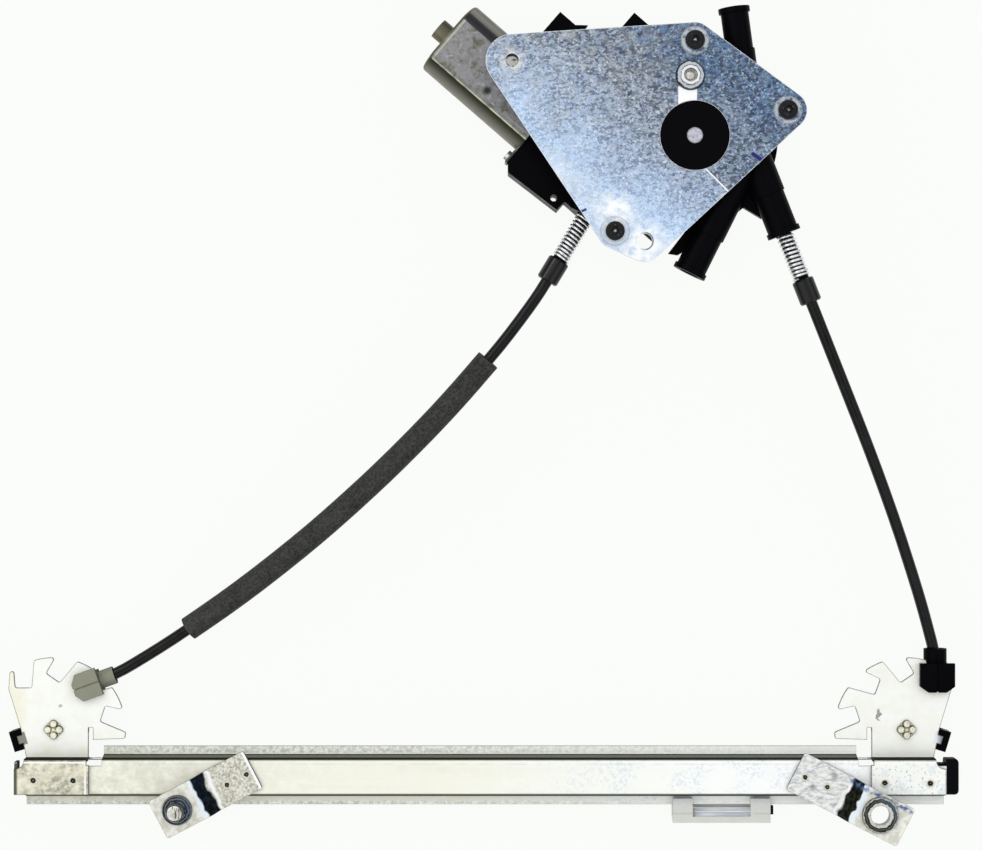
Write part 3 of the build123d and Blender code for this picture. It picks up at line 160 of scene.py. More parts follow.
# ---------------------------------------------------------------- finishes
class Finish(Nodes):
    """One material, mixed from patterns on the piece's own coordinates."""

    def __init__(self, name, color, rough, metal=0.0, **sockets):
        self.material = bpy.data.materials.new(name)
        self.material.use_nodes = True
        super().__init__(self.material.node_tree)
        self.shader = self.tree.nodes["Principled BSDF"]
        self.place = self.tree.nodes.new("ShaderNodeTexCoord").outputs["Object"]
        self.tint(color)
        self.set("Roughness", rough)
        self.set("Metallic", metal)
        for socket, value in sockets.items():
            self.set(socket.replace("_", " "), value)

    def set(self, socket, value):
        self.feed(self.shader.inputs[socket], value)

    # patterns on the piece, with their sizes in millimetres
    def turned(self, angle=0.0, stretch=(1, 1, 1), shift=(0, 0, 0)):
        return self.node("ShaderNodeMapping", Vector=self.place, Rotation=(0, 0, angle),
                         Scale=stretch, Location=shift).outputs["Vector"]

    def noise(self, size_mm, detail=3.0, rough=0.5, place=None, warp=0.0):
        made = self.node("ShaderNodeTexNoise", Vector=place or self.place,
                         Scale=1 / (size_mm * MM), Detail=detail, Roughness=rough,
                         Distortion=warp)
        return made.outputs["Fac"]

    def blots(self, size_mm, low, high, detail=3.0, rough=0.5, place=None):
        """Patches of 1 among 0, with soft rims: the nearer low and high, the harder the rim."""
        return self.span(self.noise(size_mm, detail, rough, place), low, high)

    def crystals(self, size_mm):
        """Two random tones for each crystal, and the distance from its middle."""
        made = self.node("ShaderNodeTexVoronoi", Vector=self.place, Scale=1 / (size_mm * MM))
        split = self.node("ShaderNodeSeparateColor", Color=made.outputs["Color"])
        return split.outputs["Red"], split.outputs["Green"], made.outputs["Distance"]

    # places on the unit, in millimetres, seen from above
    def local(self, x, y, angle=0.0):
        """Distances along and across a line that starts at a point of the unit."""
        return self.local_from(at(x, y), angle)

    def local_from(self, point, angle=0.0):
        mapping = self.node("ShaderNodeMapping", {"vector_type": "TEXTURE"}, Vector=self.place,
                            Location=(point[0], point[1], 0), Rotation=(0, 0, angle),
                            Scale=(MM, MM, MM))
        split = self.node("ShaderNodeSeparateXYZ", Vector=mapping.outputs["Vector"])
        return split.outputs["X"], split.outputs["Y"], split.outputs["Z"]

    def away(self, x, y):
        return self.away_from(at(x, y))

    def away_from(self, point):
        along, across, _ = self.local_from(point)
        return self.math("POWER", self.plus(self.times(along, along), self.times(across, across)),
                         0.5)

    def nearest(self, points):
        least = None
        for x, y in points:
            reach = self.away(x, y)
            least = reach if least is None else self.math("MINIMUM", least, reach)
        return least

    def inside(self, value, low, high, soft):
        """1 where the value lies between low and high, fading out over soft."""
        return self.times(self.span(value, low - soft, low + soft),
                          self.below(value, high - soft, high + soft))

    def below(self, value, full, gone):
        """1 up to one value and 0 from the other on."""
        return self.span(value, full, gone, 1.0, 0.0)

    def patch(self, x, y, angle, length, half, soft=0.3):
        along, across, _ = self.local(x, y, angle)
        return self.times(self.inside(along, 0, length, soft),
                          self.inside(across, -half, half, soft))

    def stroke(self, x0, y0, x1, y1, half, soft=0.25):
        return self.patch(x0, y0, atan2(y1 - y0, x1 - x0), hypot(x1 - x0, y1 - y0), half, soft)

    def level(self):
        """How level the surface lies: 1 for a top or an underside, 0 for an upright wall."""
        split = self.node("ShaderNodeSeparateXYZ",
                          Vector=self.node("ShaderNodeNewGeometry").outputs["Normal"])
        return self.size(split.outputs["Z"])

    def edges(self, radius_mm, sharp=0.80, flat=0.985):
        """1 along the edges of the piece, 0 on its flats."""
        bevel = self.node("ShaderNodeBevel", {"samples": 6}, Radius=radius_mm * MM)
        both = self.node("ShaderNodeVectorMath", {"operation": "DOT_PRODUCT"})
        self.feed(both.inputs[0], bevel.outputs["Normal"])
        self.feed(both.inputs[1], self.node("ShaderNodeNewGeometry").outputs["Normal"])
        return self.below(both.outputs["Value"], sharp, flat)

    # coats: each one lies over what the piece has so far
    def tint(self, color):
        self.color = color
        self.set("Base Color", color)

    def paint(self, amount, color):
        self.tint(self.mix(amount, self.color, color))

    def relief(self, height, depth_mm, strength=1.0):
        under = self.shader.inputs["Normal"].links
        made = self.node("ShaderNodeBump", Height=height, Strength=strength,
                         Distance=depth_mm * MM)
        if under:
            self.tree.links.new(under[0].from_socket, made.inputs["Normal"])
        self.set("Normal", made.outputs["Normal"])

    def shade_upright_walls(self, color, from_level=0.35, to_level=0.8):
        """Painted shade on walls and steep bends: a darker, dull colour where the surface stands
        upright.
        """
        self.dull_shade(self.below(self.level(), from_level, to_level), color)

    def dull_shade(self, amount, color):
        """A patch of painted shade: the given colour, with the shine gone."""
        self.paint(amount, color)
        for socket, dull in (("Roughness", 0.9), ("Metallic", 0.0)):
            had = self.shader.inputs[socket]
            before = had.links[0].from_socket if had.links else had.default_value
            mixed = self.node("ShaderNodeMix", Factor=amount)
            self.feed(mixed.inputs[2], before)
            self.feed(mixed.inputs[3], dull)
            self.set(socket, mixed.outputs[0])

    def pits(self, points, radius=1.4):
        """Weld marks: a dark dimple in a pale raised rim, with a painted highlight as a glint in
        its middle.
        """
        rim = radius + 0.8
        wobble = self.span(self.noise(1.1, 2.0), 0.3, 0.7, -0.22, 0.22)
        reach = self.plus(self.nearest(points), wobble)
        self.paint(self.times(self.inside(reach, radius, rim, 0.25), 0.8), shade(244, 243, 228))
        self.paint(self.below(reach, radius - 0.25, radius + 0.2), shade(28, 27, 18))
        # painted highlight: a glint in the middle of the dimple
        self.paint(self.times(self.below(reach, 0.15, 0.5), 0.6), shade(150, 148, 130))
        self.relief(self.minus(self.inside(reach, radius, rim, 0.4),
                               self.below(reach, 0.0, radius)), 0.5, 0.8)


def sheet_zinc(name, pale, grey, tint, blotch=0.5, lay=0.0):
    """Plated sheet: rolling streaks, dull blotches and a faint tint of the plating."""
    smooth, dull = 0.32, 0.5
    f = Finish(name, pale, smooth, 0.15, Specular_IOR_Level=0.12)
    streak = f.noise(5.0, 5.0, place=f.turned(lay, (0.05, 1.0, 1.0)))
    blotches = f.noise(13.0, 4.0, 0.6)
    tone = f.plus(f.span(streak, 0.35, 0.65, 0, 0.35), f.span(blotches, 0.35, 0.65, 0, blotch))
    tone = f.plus(tone, f.span(f.noise(1.5, 3.0), 0.3, 0.7, 0, 0.2))
    f.tint(f.ramp(tone, (0.1, pale), (0.75, grey), (1.0, tint)))
    f.set("Roughness", f.span(blotches, 0.3, 0.7, smooth, dull))
    f.relief(streak, 0.02, 0.25)
    f.relief(f.noise(0.5, 3.0), 0.008, 0.3)
    return f


def outline(f, color, strength, radius_mm):
    """Painted shade: the sheared edge of the sheet shows as a thin darker line."""
    f.paint(f.times(f.edges(radius_mm, 0.88, 0.998), strength), color)


def rail_zinc():
    """Rolled rail: creamy at the left, whiter at the right, with dull flanges."""
    f = sheet_zinc("rail zinc", shade(247, 247, 236), shade(240, 240, 227),
                   shade(228, 229, 220), 0.4)
    along, across, height = f.local(0, RAIL_Y)
    # duller at the left end, with a faint blue bloom towards the buffer
    dull = f.times(f.below(along, 20.0, 150.0), f.blots(6.0, 0.36, 0.62, 4.0, 0.65))
    f.paint(f.times(dull, 0.75), shade(206, 205, 186))
    f.paint(f.times(f.span(along, 200.0, 330.0), 0.85), shade(252, 254, 255))
    bloom = f.times(f.inside(along, 250.0, 420.0, 40.0), f.blots(14.0, 0.42, 0.6, 2.0),
                    f.blots(1.7, 0.5, 0.58, 4.0, 0.72))
    f.paint(f.times(bloom, 0.8), shade(216, 229, 240))
    flange = f.span(f.size(f.plus(across, 0.9)), 11.5, 12.5)
    f.paint(f.times(flange, f.span(along, 40.0, 300.0, 0.55, 1.0), 0.95), shade(255, 255, 252))
    mottled = f.times(flange, f.span(along, 420.0, 150.0), f.blots(2.2, 0.42, 0.6, 4.0, 0.65))
    f.paint(f.times(mottled, 0.7), shade(178, 182, 168))
    scribe = f.times(f.inside(across, 6.4, 6.8, 0.2), f.blots(9.0, 0.4, 0.55, 2.0))
    f.paint(f.times(scribe, 0.5), shade(196, 205, 204))
    # painted shade on the upright walls, less dark along the middle of their height, and a
    # painted dark line along the edges
    f.shade_upright_walls(shade(18, 20, 8), 0.5, 0.9)
    middle_of_wall = f.inside(height, 12.5, 17.0, 0.8)
    wall = f.below(f.level(), 0.45, 0.8)
    f.paint(f.times(wall, middle_of_wall, 0.8), shade(128, 132, 120))
    outline(f, shade(84, 84, 70), 0.7, 0.5)
    return f


def plate_end(hand):
    """End plate: nearly white over the slots, dull and mottled on the tab over the rail."""
    f = sheet_zinc(hand + " end plate zinc", shade(249, 250, 247), shade(245, 247, 243),
                   shade(238, 240, 232), 0.35)
    left = hand == "left"
    along, across, height = f.local(0.0 if left else SPAN, 0)
    tab = f.span(height, 18.5, 20.0)
    if left:
        mottle = f.noise(2.6, 5.0, 0.66, place=f.turned(0, (0.8, 1.0, 1.0)))
        f.paint(tab, f.ramp(mottle, (0.36, shade(132, 130, 108)), (0.5, shade(190, 189, 170)),
                            (0.63, shade(234, 232, 214))))
        # painted highlight: a white line across the tab near its right end
        f.paint(f.times(f.inside(along, 16.6, 17.5, 0.25), tab), shade(250, 250, 255))
        low = f.times(f.span(across, -4.0, -13.0), f.blots(8.0, 0.42, 0.6))
        f.paint(f.times(low, 0.6), shade(232, 228, 203))
        smudge = f.stroke(2.6, 11.6, 4.2, 12.2, 0.7)
        f.paint(f.times(smudge, 0.7), shade(112, 108, 122))
        edge_tint = f.times(f.span(along, -12.0, -17.0), f.blots(9.0, 0.35, 0.55, 2.0))
        f.paint(f.times(edge_tint, 0.8), shade(240, 236, 212))
        # painted shade on the tongue inside the plastic hook
        tongue, hook_shade = f.stroke(-20.5, -6.0, -13.8, -4.0, 3.2), shade(56, 56, 46)
    else:
        specks = f.blots(1.5, 0.60, 0.66, 3.0, 0.6)
        f.paint(f.times(tab, specks, 0.85), shade(142, 146, 152))
        f.paint(f.times(tab, f.blots(3.4, 0.52, 0.6), 0.6), shade(218, 230, 240))
        smudge = f.times(f.stroke(SPAN - 14.4, 4.6, SPAN - 13.2, 10.8, 1.4),
                         f.blots(1.4, 0.46, 0.54))
        f.paint(f.times(smudge, 0.85), shade(84, 84, 74))
        specks = f.times(f.blots(0.9, 0.68, 0.72, 2.0), f.span(height, 18.0, 12.0))
        f.paint(f.times(specks, 0.5), shade(190, 200, 214))
        tongue = f.stroke(SPAN + 13.9, -3.8, SPAN + 20.5, -5.4, 3.2)
        # the tongue's painted shade deepens into the hook
        hook_shade = f.ramp(f.span(along, 14.0, 18.0), (0.2, shade(228, 232, 244)),
                             (0.8, shade(84, 92, 124)))
    low = f.times(f.blots(6.0, 0.45, 0.6), f.minus(1.0, tab))
    f.paint(f.times(low, 0.35), shade(240, 238, 224))
    # painted shade on the tongue where it runs into the hook
    f.paint(f.times(tongue, 0.85), hook_shade)
    # painted shade on the fold down to the fan, and a painted highlight on the bend above it
    f.paint(f.inside(f.level(), 0.90, 0.992, 0.01), shade(252, 252, 246))
    f.shade_upright_walls(shade(10, 10, 3), 0.55, 0.9)
    if left:
        # the tab is turned down over the rail's end, and its bend gets painted shade with the
        # shine gone
        bend = f.times(f.span(along, -16.5, -17.4), f.span(across, -15.5, -16.5))
        f.dull_shade(f.times(bend, 0.9), shade(58, 56, 46))
    f.pits(WELDS[hand + "_end_plate"])
    # painted shade: a thin dark line along the edges
    outline(f, shade(76, 76, 64), 1.1, 0.85)
    return f


def joggled(hand):
    """Mounting strip: grey mottled foot on the rail, painted shade on the joggle, pale raised
    end.
    """
    left = hand == "left"
    node = hand + "_mount_bracket"
    turn = STRIPS[node][-1]
    f = sheet_zinc(hand + " bracket zinc", shade(214, 212, 196), shade(193, 191, 178),
                   shade(176, 175, 168), 0.5, lay=-turn)
    along, across, _ = f.local(*STRIPS[node])
    # the joggle: where it starts and ends along the strip, and the colours of its painted shade
    if left:
        step, step_end, dark, gleam = 23.4, 29.6, shade(3, 4, 8), shade(20, 34, 52)
        fine = f.noise(1.3, 4.0, 0.64)
        f.paint(0.75, f.ramp(fine, (0.36, shade(142, 140, 128)), (0.5, shade(208, 206, 194)),
                             (0.63, shade(244, 244, 236))))
    else:
        step, step_end, dark, gleam = 28.6, 33.7, shade(4, 5, 5), shade(40, 45, 32)
        drawn = f.noise(1.5, 4.0, 0.62, place=f.turned(-turn, (0.45, 1.0, 1.0)))
        f.paint(0.8, f.ramp(drawn, (0.36, shade(168, 174, 184)), (0.48, shade(222, 226, 229)),
                            (0.6, shade(250, 250, 248))))
    raised = f.span(along, step + 5.0, step + 6.5)
    f.paint(f.times(raised, 0.85),
            f.ramp(f.noise(4.0, 3.0), (0.4, shade(214, 212, 200)), (0.6, shade(246, 246, 238))))
    # the joggle is in shade, between two bends that catch the light
    depth = f.plus(along, f.span(f.noise(7.0, 1.0), 0.3, 0.7, -1.1, 1.1))
    f.paint(f.inside(depth, step - 2.2, step - 0.6, 0.5), shade(250, 250, 250))
    f.paint(f.inside(depth, step + 5.2, step + 8.2, 0.6), shade(232, 242, 250))
    f.dull_shade(f.inside(depth, step + 0.1, step_end, 0.35),
            f.ramp(f.noise(2.2, 3.0), (0.4, dark), (0.66, gleam)))
    if left:
        # painted highlight just inside the strip's end, and a painted shadow line at the end edge
        f.paint(f.inside(along, 0.2, 1.5, 0.3), shade(252, 252, 255))
        f.paint(f.inside(along, -0.6, 0.25, 0.15), shade(60, 66, 80))
    else:
        stains = f.nearest(((391.6, -22.6), (380.6, -28.3)))
        f.paint(f.times(f.below(stains, 0.9, 2.4), 0.6), shade(120, 118, 112))
        # painted shade, tinted blue, in a band along the strip's edge near the joggle
        blue_shade_band = f.times(f.inside(across, 7.2, 9.8, 0.9), f.span(along, 22.0, 30.0))
        f.paint(f.times(blue_shade_band, f.blots(2.2, 0.4, 0.62)), shade(84, 112, 158))
    f.pits(WELDS[node], 1.25)
    # painted shade on the upright walls, and a thin dark line along the edges
    f.shade_upright_walls(shade(40, 42, 40), 0.1, 0.5)
    outline(f, shade(90, 90, 84), 0.8, 0.5)
    return f


def motor_plate():
    """Spangled galvanised plate, with painted light: dark at its far corner and pale towards the
    lower hole.
    """
    f = Finish("spangled plate", shade(150, 165, 185), 0.34, 0.25)
    # painted light: brighter from the far corner to the lower hole, and darker again past the
    # shear line
    reach, _, _ = f.local(356.6, 307.5, radians(-126.87))
    bright = f.plus(f.span(reach, 0.0, 86.9), f.span(f.noise(26.0, 3.0), 0.3, 0.7, -0.12, 0.08))
    along, across, _ = f.local(327.2, 276.6, radians(-45))
    beyond = f.times(f.inside(along, -14.0, 18.0, 1.0), f.inside(across, 0.2, 26.0, 0.25))
    bright = f.plus(f.times(bright, 0.92),
                    f.times(beyond, f.span(across, 0, 26, 1.0, 0.2), -0.3))
    base = f.ramp(bright, (0.0, shade(86, 114, 150)), (0.32, shade(150, 163, 180)),
                  (0.55, shade(166, 184, 212)), (0.8, shade(190, 215, 246)),
                  (1.0, shade(222, 235, 252)))
    low = f.ramp(bright, (0.0, shade(38, 54, 84)), (0.32, shade(74, 84, 102)),
                 (0.55, shade(104, 122, 150)), (0.8, shade(156, 182, 218)),
                 (1.0, shade(222, 234, 246)))
    high = f.ramp(bright, (0.0, shade(160, 184, 205)), (0.4, shade(205, 212, 220)),
                  (0.8, shade(216, 234, 252)), (1.0, shade(246, 250, 255)))
    drawn = f.turned(radians(-12), (0.62, 1.0, 1.0))
    specks = f.noise(1.3, 3.0, 0.62, place=drawn, warp=0.4)
    tint, other, cell = f.crystals(2.6)
    f.tint(f.mix(f.span(specks, 0.49, 0.56), base, low))
    # painted highlights: glints among the spangle's specks
    glints = f.blots(1.1, 0.54, 0.64, 3.0, 0.6, f.turned(0.7, shift=(0.3, 0.2, 0)))
    f.paint(glints, high)
    clots = f.blots(1.7, 0.54, 0.6, 2.0, 0.5,
                    f.turned(radians(-12), (0.7, 1.0, 1.0), (0.1, 0.4, 0)))
    f.paint(f.times(clots, f.span(bright, 0.75, 0.2), 0.85), shade(52, 62, 84))
    # rusty-cream bloom towards the motor's side, and crystals that lean blue or green
    warm = f.times(f.span(reach, 40.0, 10.0, 0.3, 1.0),
                   f.below(f.local(*DRUM)[0], -85.0, 5.0))
    f.paint(f.times(warm, f.blots(6.0, 0.44, 0.58), 0.6), shade(184, 178, 166))
    f.paint(f.times(f.span(tint, 0.6, 1.0), 0.16), shade(150, 178, 178))
    f.paint(f.times(f.span(other, 0.65, 1.0), 0.16), shade(150, 150, 196))
    # painted glare by the lower screw and round the fixing hole
    glare = f.below(f.nearest((LOWER_HOLE, (281.0, 257.5), (292.0, 236.0))), 5.0, 12.0)
    f.paint(f.times(glare, f.blots(5.0, 0.36, 0.55)), shade(247, 250, 253))
    # witness of the shear line, ink ticks at the plate's edges
    f.paint(f.stroke(324.0, 279.8, 336.4, 267.4, 0.33, 0.2), shade(250, 251, 255))
    f.paint(f.stroke(347.6, 286.4, 354.6, 281.6, 0.9), shade(18, 16, 108))
    f.paint(f.stroke(262.2, 256.8, 266.6, 259.0, 0.6), shade(24, 28, 120))
    f.paint(f.stroke(262.2, 256.8, 260.6, 255.2, 0.6), shade(24, 28, 120))
    # painted glare between the collar nut and the drum's boss
    f.paint(f.patch(316.2, 319.2, radians(-90), 9.4, 4.6, 0.25), shade(250, 251, 255))
    # painted light and shade of the embossed ring round each screw, pale metal at the corner
    # hole, painted shade on one side of the lower hole's lip
    rings = f.nearest(PLATE_SCREWS)
    broken = f.times(f.inside(rings, 4.9, 6.4, 0.3), f.blots(3.0, 0.36, 0.52, 2.0))
    f.paint(f.times(broken, 0.8), shade(214, 222, 228))
    f.paint(f.times(f.inside(rings, 6.6, 7.3, 0.3), 0.45), shade(84, 94, 110))
    corner = f.times(f.below(f.away(*CORNER_HOLE), 3.6, 7.5), f.blots(3.0, 0.4, 0.55))
    f.paint(f.times(corner, 0.85), shade(222, 224, 222))
    lip = f.inside(f.away(*LOWER_HOLE), 3.6, 4.5, 0.25)
    f.paint(f.times(lip, f.span(f.local(*LOWER_HOLE)[0], -2.5, 1.5)), shade(70, 78, 92))
    # painted highlight along the plate's edges, and painted shade on its upright walls
    f.paint(f.span(f.edges(0.8), 0.2, 0.8), shade(246, 248, 250))
    f.shade_upright_walls(shade(150, 152, 150), 0.1, 0.5)
    f.set("Roughness", f.span(cell, 0.0, 0.6, 0.26, 0.5))
    f.relief(tint, 0.012, 0.35)
    f.relief(specks, 0.02, 0.3)
    return f


def drawn_can():
    """Drawn steel can: a flat with olive stains, and painted light and shade on the bends and
    round sides beside it.
    """
    f = Finish("motor can steel", shade(140, 142, 140), 0.36, 0.3)
    along, across, _ = f.local(*CAN_FOOT, CAN_TURN)
    mottle = f.noise(5.0, 5.0, 0.68, warp=0.7)
    f.tint(f.ramp(mottle, (0.34, shade(96, 94, 78)), (0.46, shade(134, 134, 134)),
                  (0.58, shade(146, 146, 152)), (0.7, shade(112, 108, 92))))
    fine = f.noise(1.4, 4.0, 0.62)
    f.paint(f.times(f.span(fine, 0.54, 0.66), 0.55), shade(92, 92, 86))
    f.paint(f.times(f.blots(2.4, 0.6, 0.68), 0.55), shade(176, 180, 188))
    f.paint(f.below(f.away(217.9, 319.0), 1.0, 2.8), shade(30, 30, 26))
    # painted light and shade on the two bends beside the flat: a painted highlight on the ridge,
    # then painted shade in the hollow, then the round side
    near = f.ramp(f.span(across, -20.5, -12.6), (0.0, shade(84, 80, 70)),
                  (0.18, shade(122, 118, 108)), (0.5, shade(100, 97, 84)),
                  (0.74, shade(56, 55, 36)), (0.9, shade(22, 24, 4)), (1.0, shade(22, 24, 4)))
    f.paint(f.span(across, -12.2, -12.7), near)
    far = f.ramp(f.span(across, 12.6, 20.5), (0.0, shade(40, 40, 40)), (0.2, shade(20, 20, 30)),
                 (0.5, shade(34, 34, 44)), (0.62, shade(116, 114, 104)),
                 (0.85, shade(126, 124, 114)), (1.0, shade(80, 78, 70)))
    f.paint(f.span(across, 12.2, 12.7), far)
    # painted highlights: along the near ridge and across the flat's end
    ridge = f.times(f.inside(across, -12.65, -12.05, 0.2),
                    f.span(f.noise(5.0, 3.0), 0.36, 0.56, 0.35, 1.0))
    f.paint(f.times(ridge, f.span(along, -0.5, 0.5)), shade(232, 232, 196))
    f.paint(f.times(f.inside(along, -0.2, 0.6, 0.3), f.inside(across, -12.5, 12.5, 0.5), 0.7),
            shade(200, 200, 176))
    # painted shade on the can's end beyond the flat, darker towards both sides
    end = f.ramp(f.span(across, -6.0, 6.0), (0.0, shade(70, 68, 44)),
                 (0.45, shade(118, 114, 92)), (1.0, shade(64, 62, 40)))
    f.paint(f.span(along, -0.4, -1.2), end)
    # what shows of it through the plate's corner hole: olive, with painted highlights
    seen = f.ramp(f.noise(2.4, 3.0), (0.4, shade(84, 80, 34)), (0.47, shade(222, 222, 200)),
                  (0.54, shade(255, 255, 250)))
    f.paint(f.span(f.away(*CORNER_HOLE), 4.2, 3.6), seen)
    # painted shade along the edges
    f.paint(f.times(f.edges(0.4), 0.4), shade(60, 60, 44))
    f.set("Roughness", f.span(mottle, 0.3, 0.7, 0.3, 0.46))
    f.relief(f.noise(2.0, 3.0, place=f.turned(-CAN_TURN, (0.08, 1, 1))), 0.02, 0.3)
    f.relief(fine, 0.02, 0.3)
    return f


def plated_steel(name, color, rough=0.25, metal=1.0, wall=shade(44, 44, 34), scratch=0.62):
    """Plated turned or headed steel, with scratches, dull spots and painted shade on upright
    sides.
    """
    f = Finish(name, color, rough, metal)
    spots = f.noise(1.6, 4.0)
    f.tint(f.ramp(spots, (0.3, tuple(c * scratch for c in color)), (0.56, color)))
    if wall:
        # painted shade on upright sides
        f.shade_upright_walls(wall, 0.2, 0.75)
    f.set("Roughness", f.span(f.noise(0.9, 3.0), 0.3, 0.7, rough * 0.7, rough * 1.6))
    f.relief(f.noise(0.35, 2.0), 0.008, 0.3)
    return f


def peened_rivets():
    """Four peened lobes, each with painted shade as a dark outline where it meets the plate."""
    f = plated_steel("peened rivet steel", shade(246, 244, 222), 0.3, 0.3, shade(40, 38, 10))
    lobes = f.nearest([(pin + x, y) for pin in (0, SPAN)
                       for x, y in ((2.9, 0), (-2.9, 0), (0, 2.9), (0, -2.9))])
    # painted shade: a broken dark ring round each lobe
    ring = f.times(f.inside(lobes, 1.5, 2.3, 0.25), f.blots(1.6, 0.34, 0.46, 2.0))
    f.paint(f.times(ring, 0.9), shade(74, 70, 20))
    return f


def collared_steel(name, centre, rings, spoke=0.0):
    """Turned collar: painted light and shade as bright and dark steps round its axis, with
    scratches between them.
    """
    f = plated_steel(name, shade(226, 226, 220), 0.22, 0.5, wall=shade(34, 36, 34))
    reach = f.plus(f.away_from(centre), f.span(f.noise(2.4, 2.0), 0.3, 0.7, -0.35, 0.35))
    along, _, _ = f.local_from(centre, radians(35))
    # painted light and shade: the colour of each ring
    for low, high, color in rings:
        f.paint(f.inside(reach, low, high, 0.22), color)
    # painted blue highlight on one side of the first, dark ring
    dark = f.times(f.inside(reach, *rings[0][:2], 0.3), f.span(along, 1.5, 7.5))
    f.paint(f.times(dark, 0.25), shade(110, 140, 176))
    if spoke:
        ribs = f.noise(0.9, 1.0, place=f.turned(radians(20), (1.0, 0.12, 1.0)))
        f.paint(f.times(f.span(reach, spoke, spoke - 0.5), f.span(ribs, 0.56, 0.62)),
                shade(92, 92, 66))
    return f


def drive_screws():
    """Black screws with painted highlights: bright flecks in the recess and a faint halo."""
    f = plated_steel("black screw steel", shade(10, 10, 14), 0.3, 0.0, wall=None)
    f.set("Specular IOR Level", 0.25)
    reach = f.nearest(PLATE_SCREWS)
    # painted highlight: bright flecks in the recess
    catch_light = f.times(f.below(reach, 0.3, 0.9), f.blots(0.7, 0.46, 0.54, 2.0))
    f.paint(catch_light, shade(225, 228, 238))
    # painted highlight: a faint broken halo on the head
    halo = f.times(f.inside(reach, 2.2, 3.0, 0.4), f.blots(1.3, 0.6, 0.68, 2.0))
    f.paint(f.times(halo, 0.4), shade(130, 132, 144))
    return f


def moulded(name, color, rough=(0.34, 0.5), grain_mm=0.45, depth=0.02, lift=1.2, gloss=0.5):
    """Moulded plastic: fine eroded grain and slight flow marks."""
    f = Finish(name, color, rough[0])
    flow = f.noise(9.0, 3.0, warp=0.6)
    f.tint(f.ramp(flow, (0.3, color), (0.75, tuple(min(1, c * lift) for c in color))))
    f.set("Roughness", f.span(flow, 0.3, 0.7, *rough))
    f.set("Specular IOR Level", gloss)
    f.relief(f.noise(grain_mm, 2.0), depth, 0.35)
    return f


def slider_plastic():
    """Translucent white acetal of the carriage; the ribbed window shows greyer, and its colour is
    painted lighter against the shade in that recess.
    """
    f = moulded("slider plastic", shade(205, 208, 203), (0.3, 0.42), lift=1.06)
    along, across, height = f.local(*SLIDER)
    window = f.times(f.inside(along, -14.4, 14.6, 0.4), f.inside(across, -6.6, -0.4, 0.3),
                     f.below(height, 14.2, 14.8))
    # painted light: the window's colour is lifted against the shade in its recess
    f.paint(window, f.ramp(f.noise(3.0, 4.0, place=f.turned(0, (0.25, 1, 1))),
                           (0.36, shade(226, 230, 236)), (0.6, shade(246, 248, 252))))
    f.paint(f.times(window, f.inside(across, -1.6, -0.6, 0.3), 0.6), shade(138, 140, 142))
    ends = f.span(f.size(along), 14.5, 15.0)
    f.paint(f.times(ends, f.inside(across, -4.4, -3.6, 0.3), 0.5), shade(176, 176, 164))
    f.paint(f.times(ends, f.inside(across, 1.4, 4.5, 0.4), 0.4), shade(200, 202, 216))
    # painted shade along the edges
    f.paint(f.times(f.edges(0.4), 0.5), shade(156, 156, 148))
    f.set("Subsurface Weight", 0.15)
    f.set("Subsurface Scale", 0.004)
    return f


def clip_plastic():
    """Grey-green clip, with painted shade on its edges and upright walls, so darker in its
    groove.
    """
    f = moulded("clip plastic", shade(130, 131, 115), (0.4, 0.55), lift=1.12)
    # painted shade along the edges and on the upright walls
    f.paint(f.times(f.edges(0.45), 0.7), shade(92, 92, 76))
    f.shade_upright_walls(shade(84, 84, 68), 0.1, 0.6)
    return f


def conduit_jacket():
    """Glossy extruded jacket, with the faint lay of the wires under it."""
    f = Finish("conduit jacket", shade(8, 8, 9), 0.16, Specular_IOR_Level=0.2)
    scuff = f.noise(6.0, 4.0)
    f.set("Roughness", f.span(scuff, 0.35, 0.7, 0.12, 0.3))
    f.tint(f.ramp(scuff, (0.4, shade(6, 6, 7)), (0.8, shade(22, 22, 26))))
    f.relief(f.noise(2.2, 2.0), 0.05, 0.25)
    return f


def sleeve_braid():
    """Matt woven sleeve over the left conduit."""
    f = Finish("sleeve braid", shade(58, 58, 56), 0.74)
    weave, _, _ = f.crystals(0.9)
    catch_light = f.noise(11.0, 4.0)
    tone = f.plus(f.span(weave, 0, 1, 0, 0.6), f.span(catch_light, 0.3, 0.7, 0, 0.4))
    f.tint(f.ramp(tone, (0.1, shade(20, 20, 20)), (0.9, shade(64, 64, 62))))
    f.set("Roughness", f.span(catch_light, 0.3, 0.7, 0.55, 0.8))
    f.set("Specular IOR Level", 0.3)
    f.relief(weave, 0.12, 0.5)
    return f


BLACK = shade(5, 4, 7)
STEEL = shade(222, 223, 222)
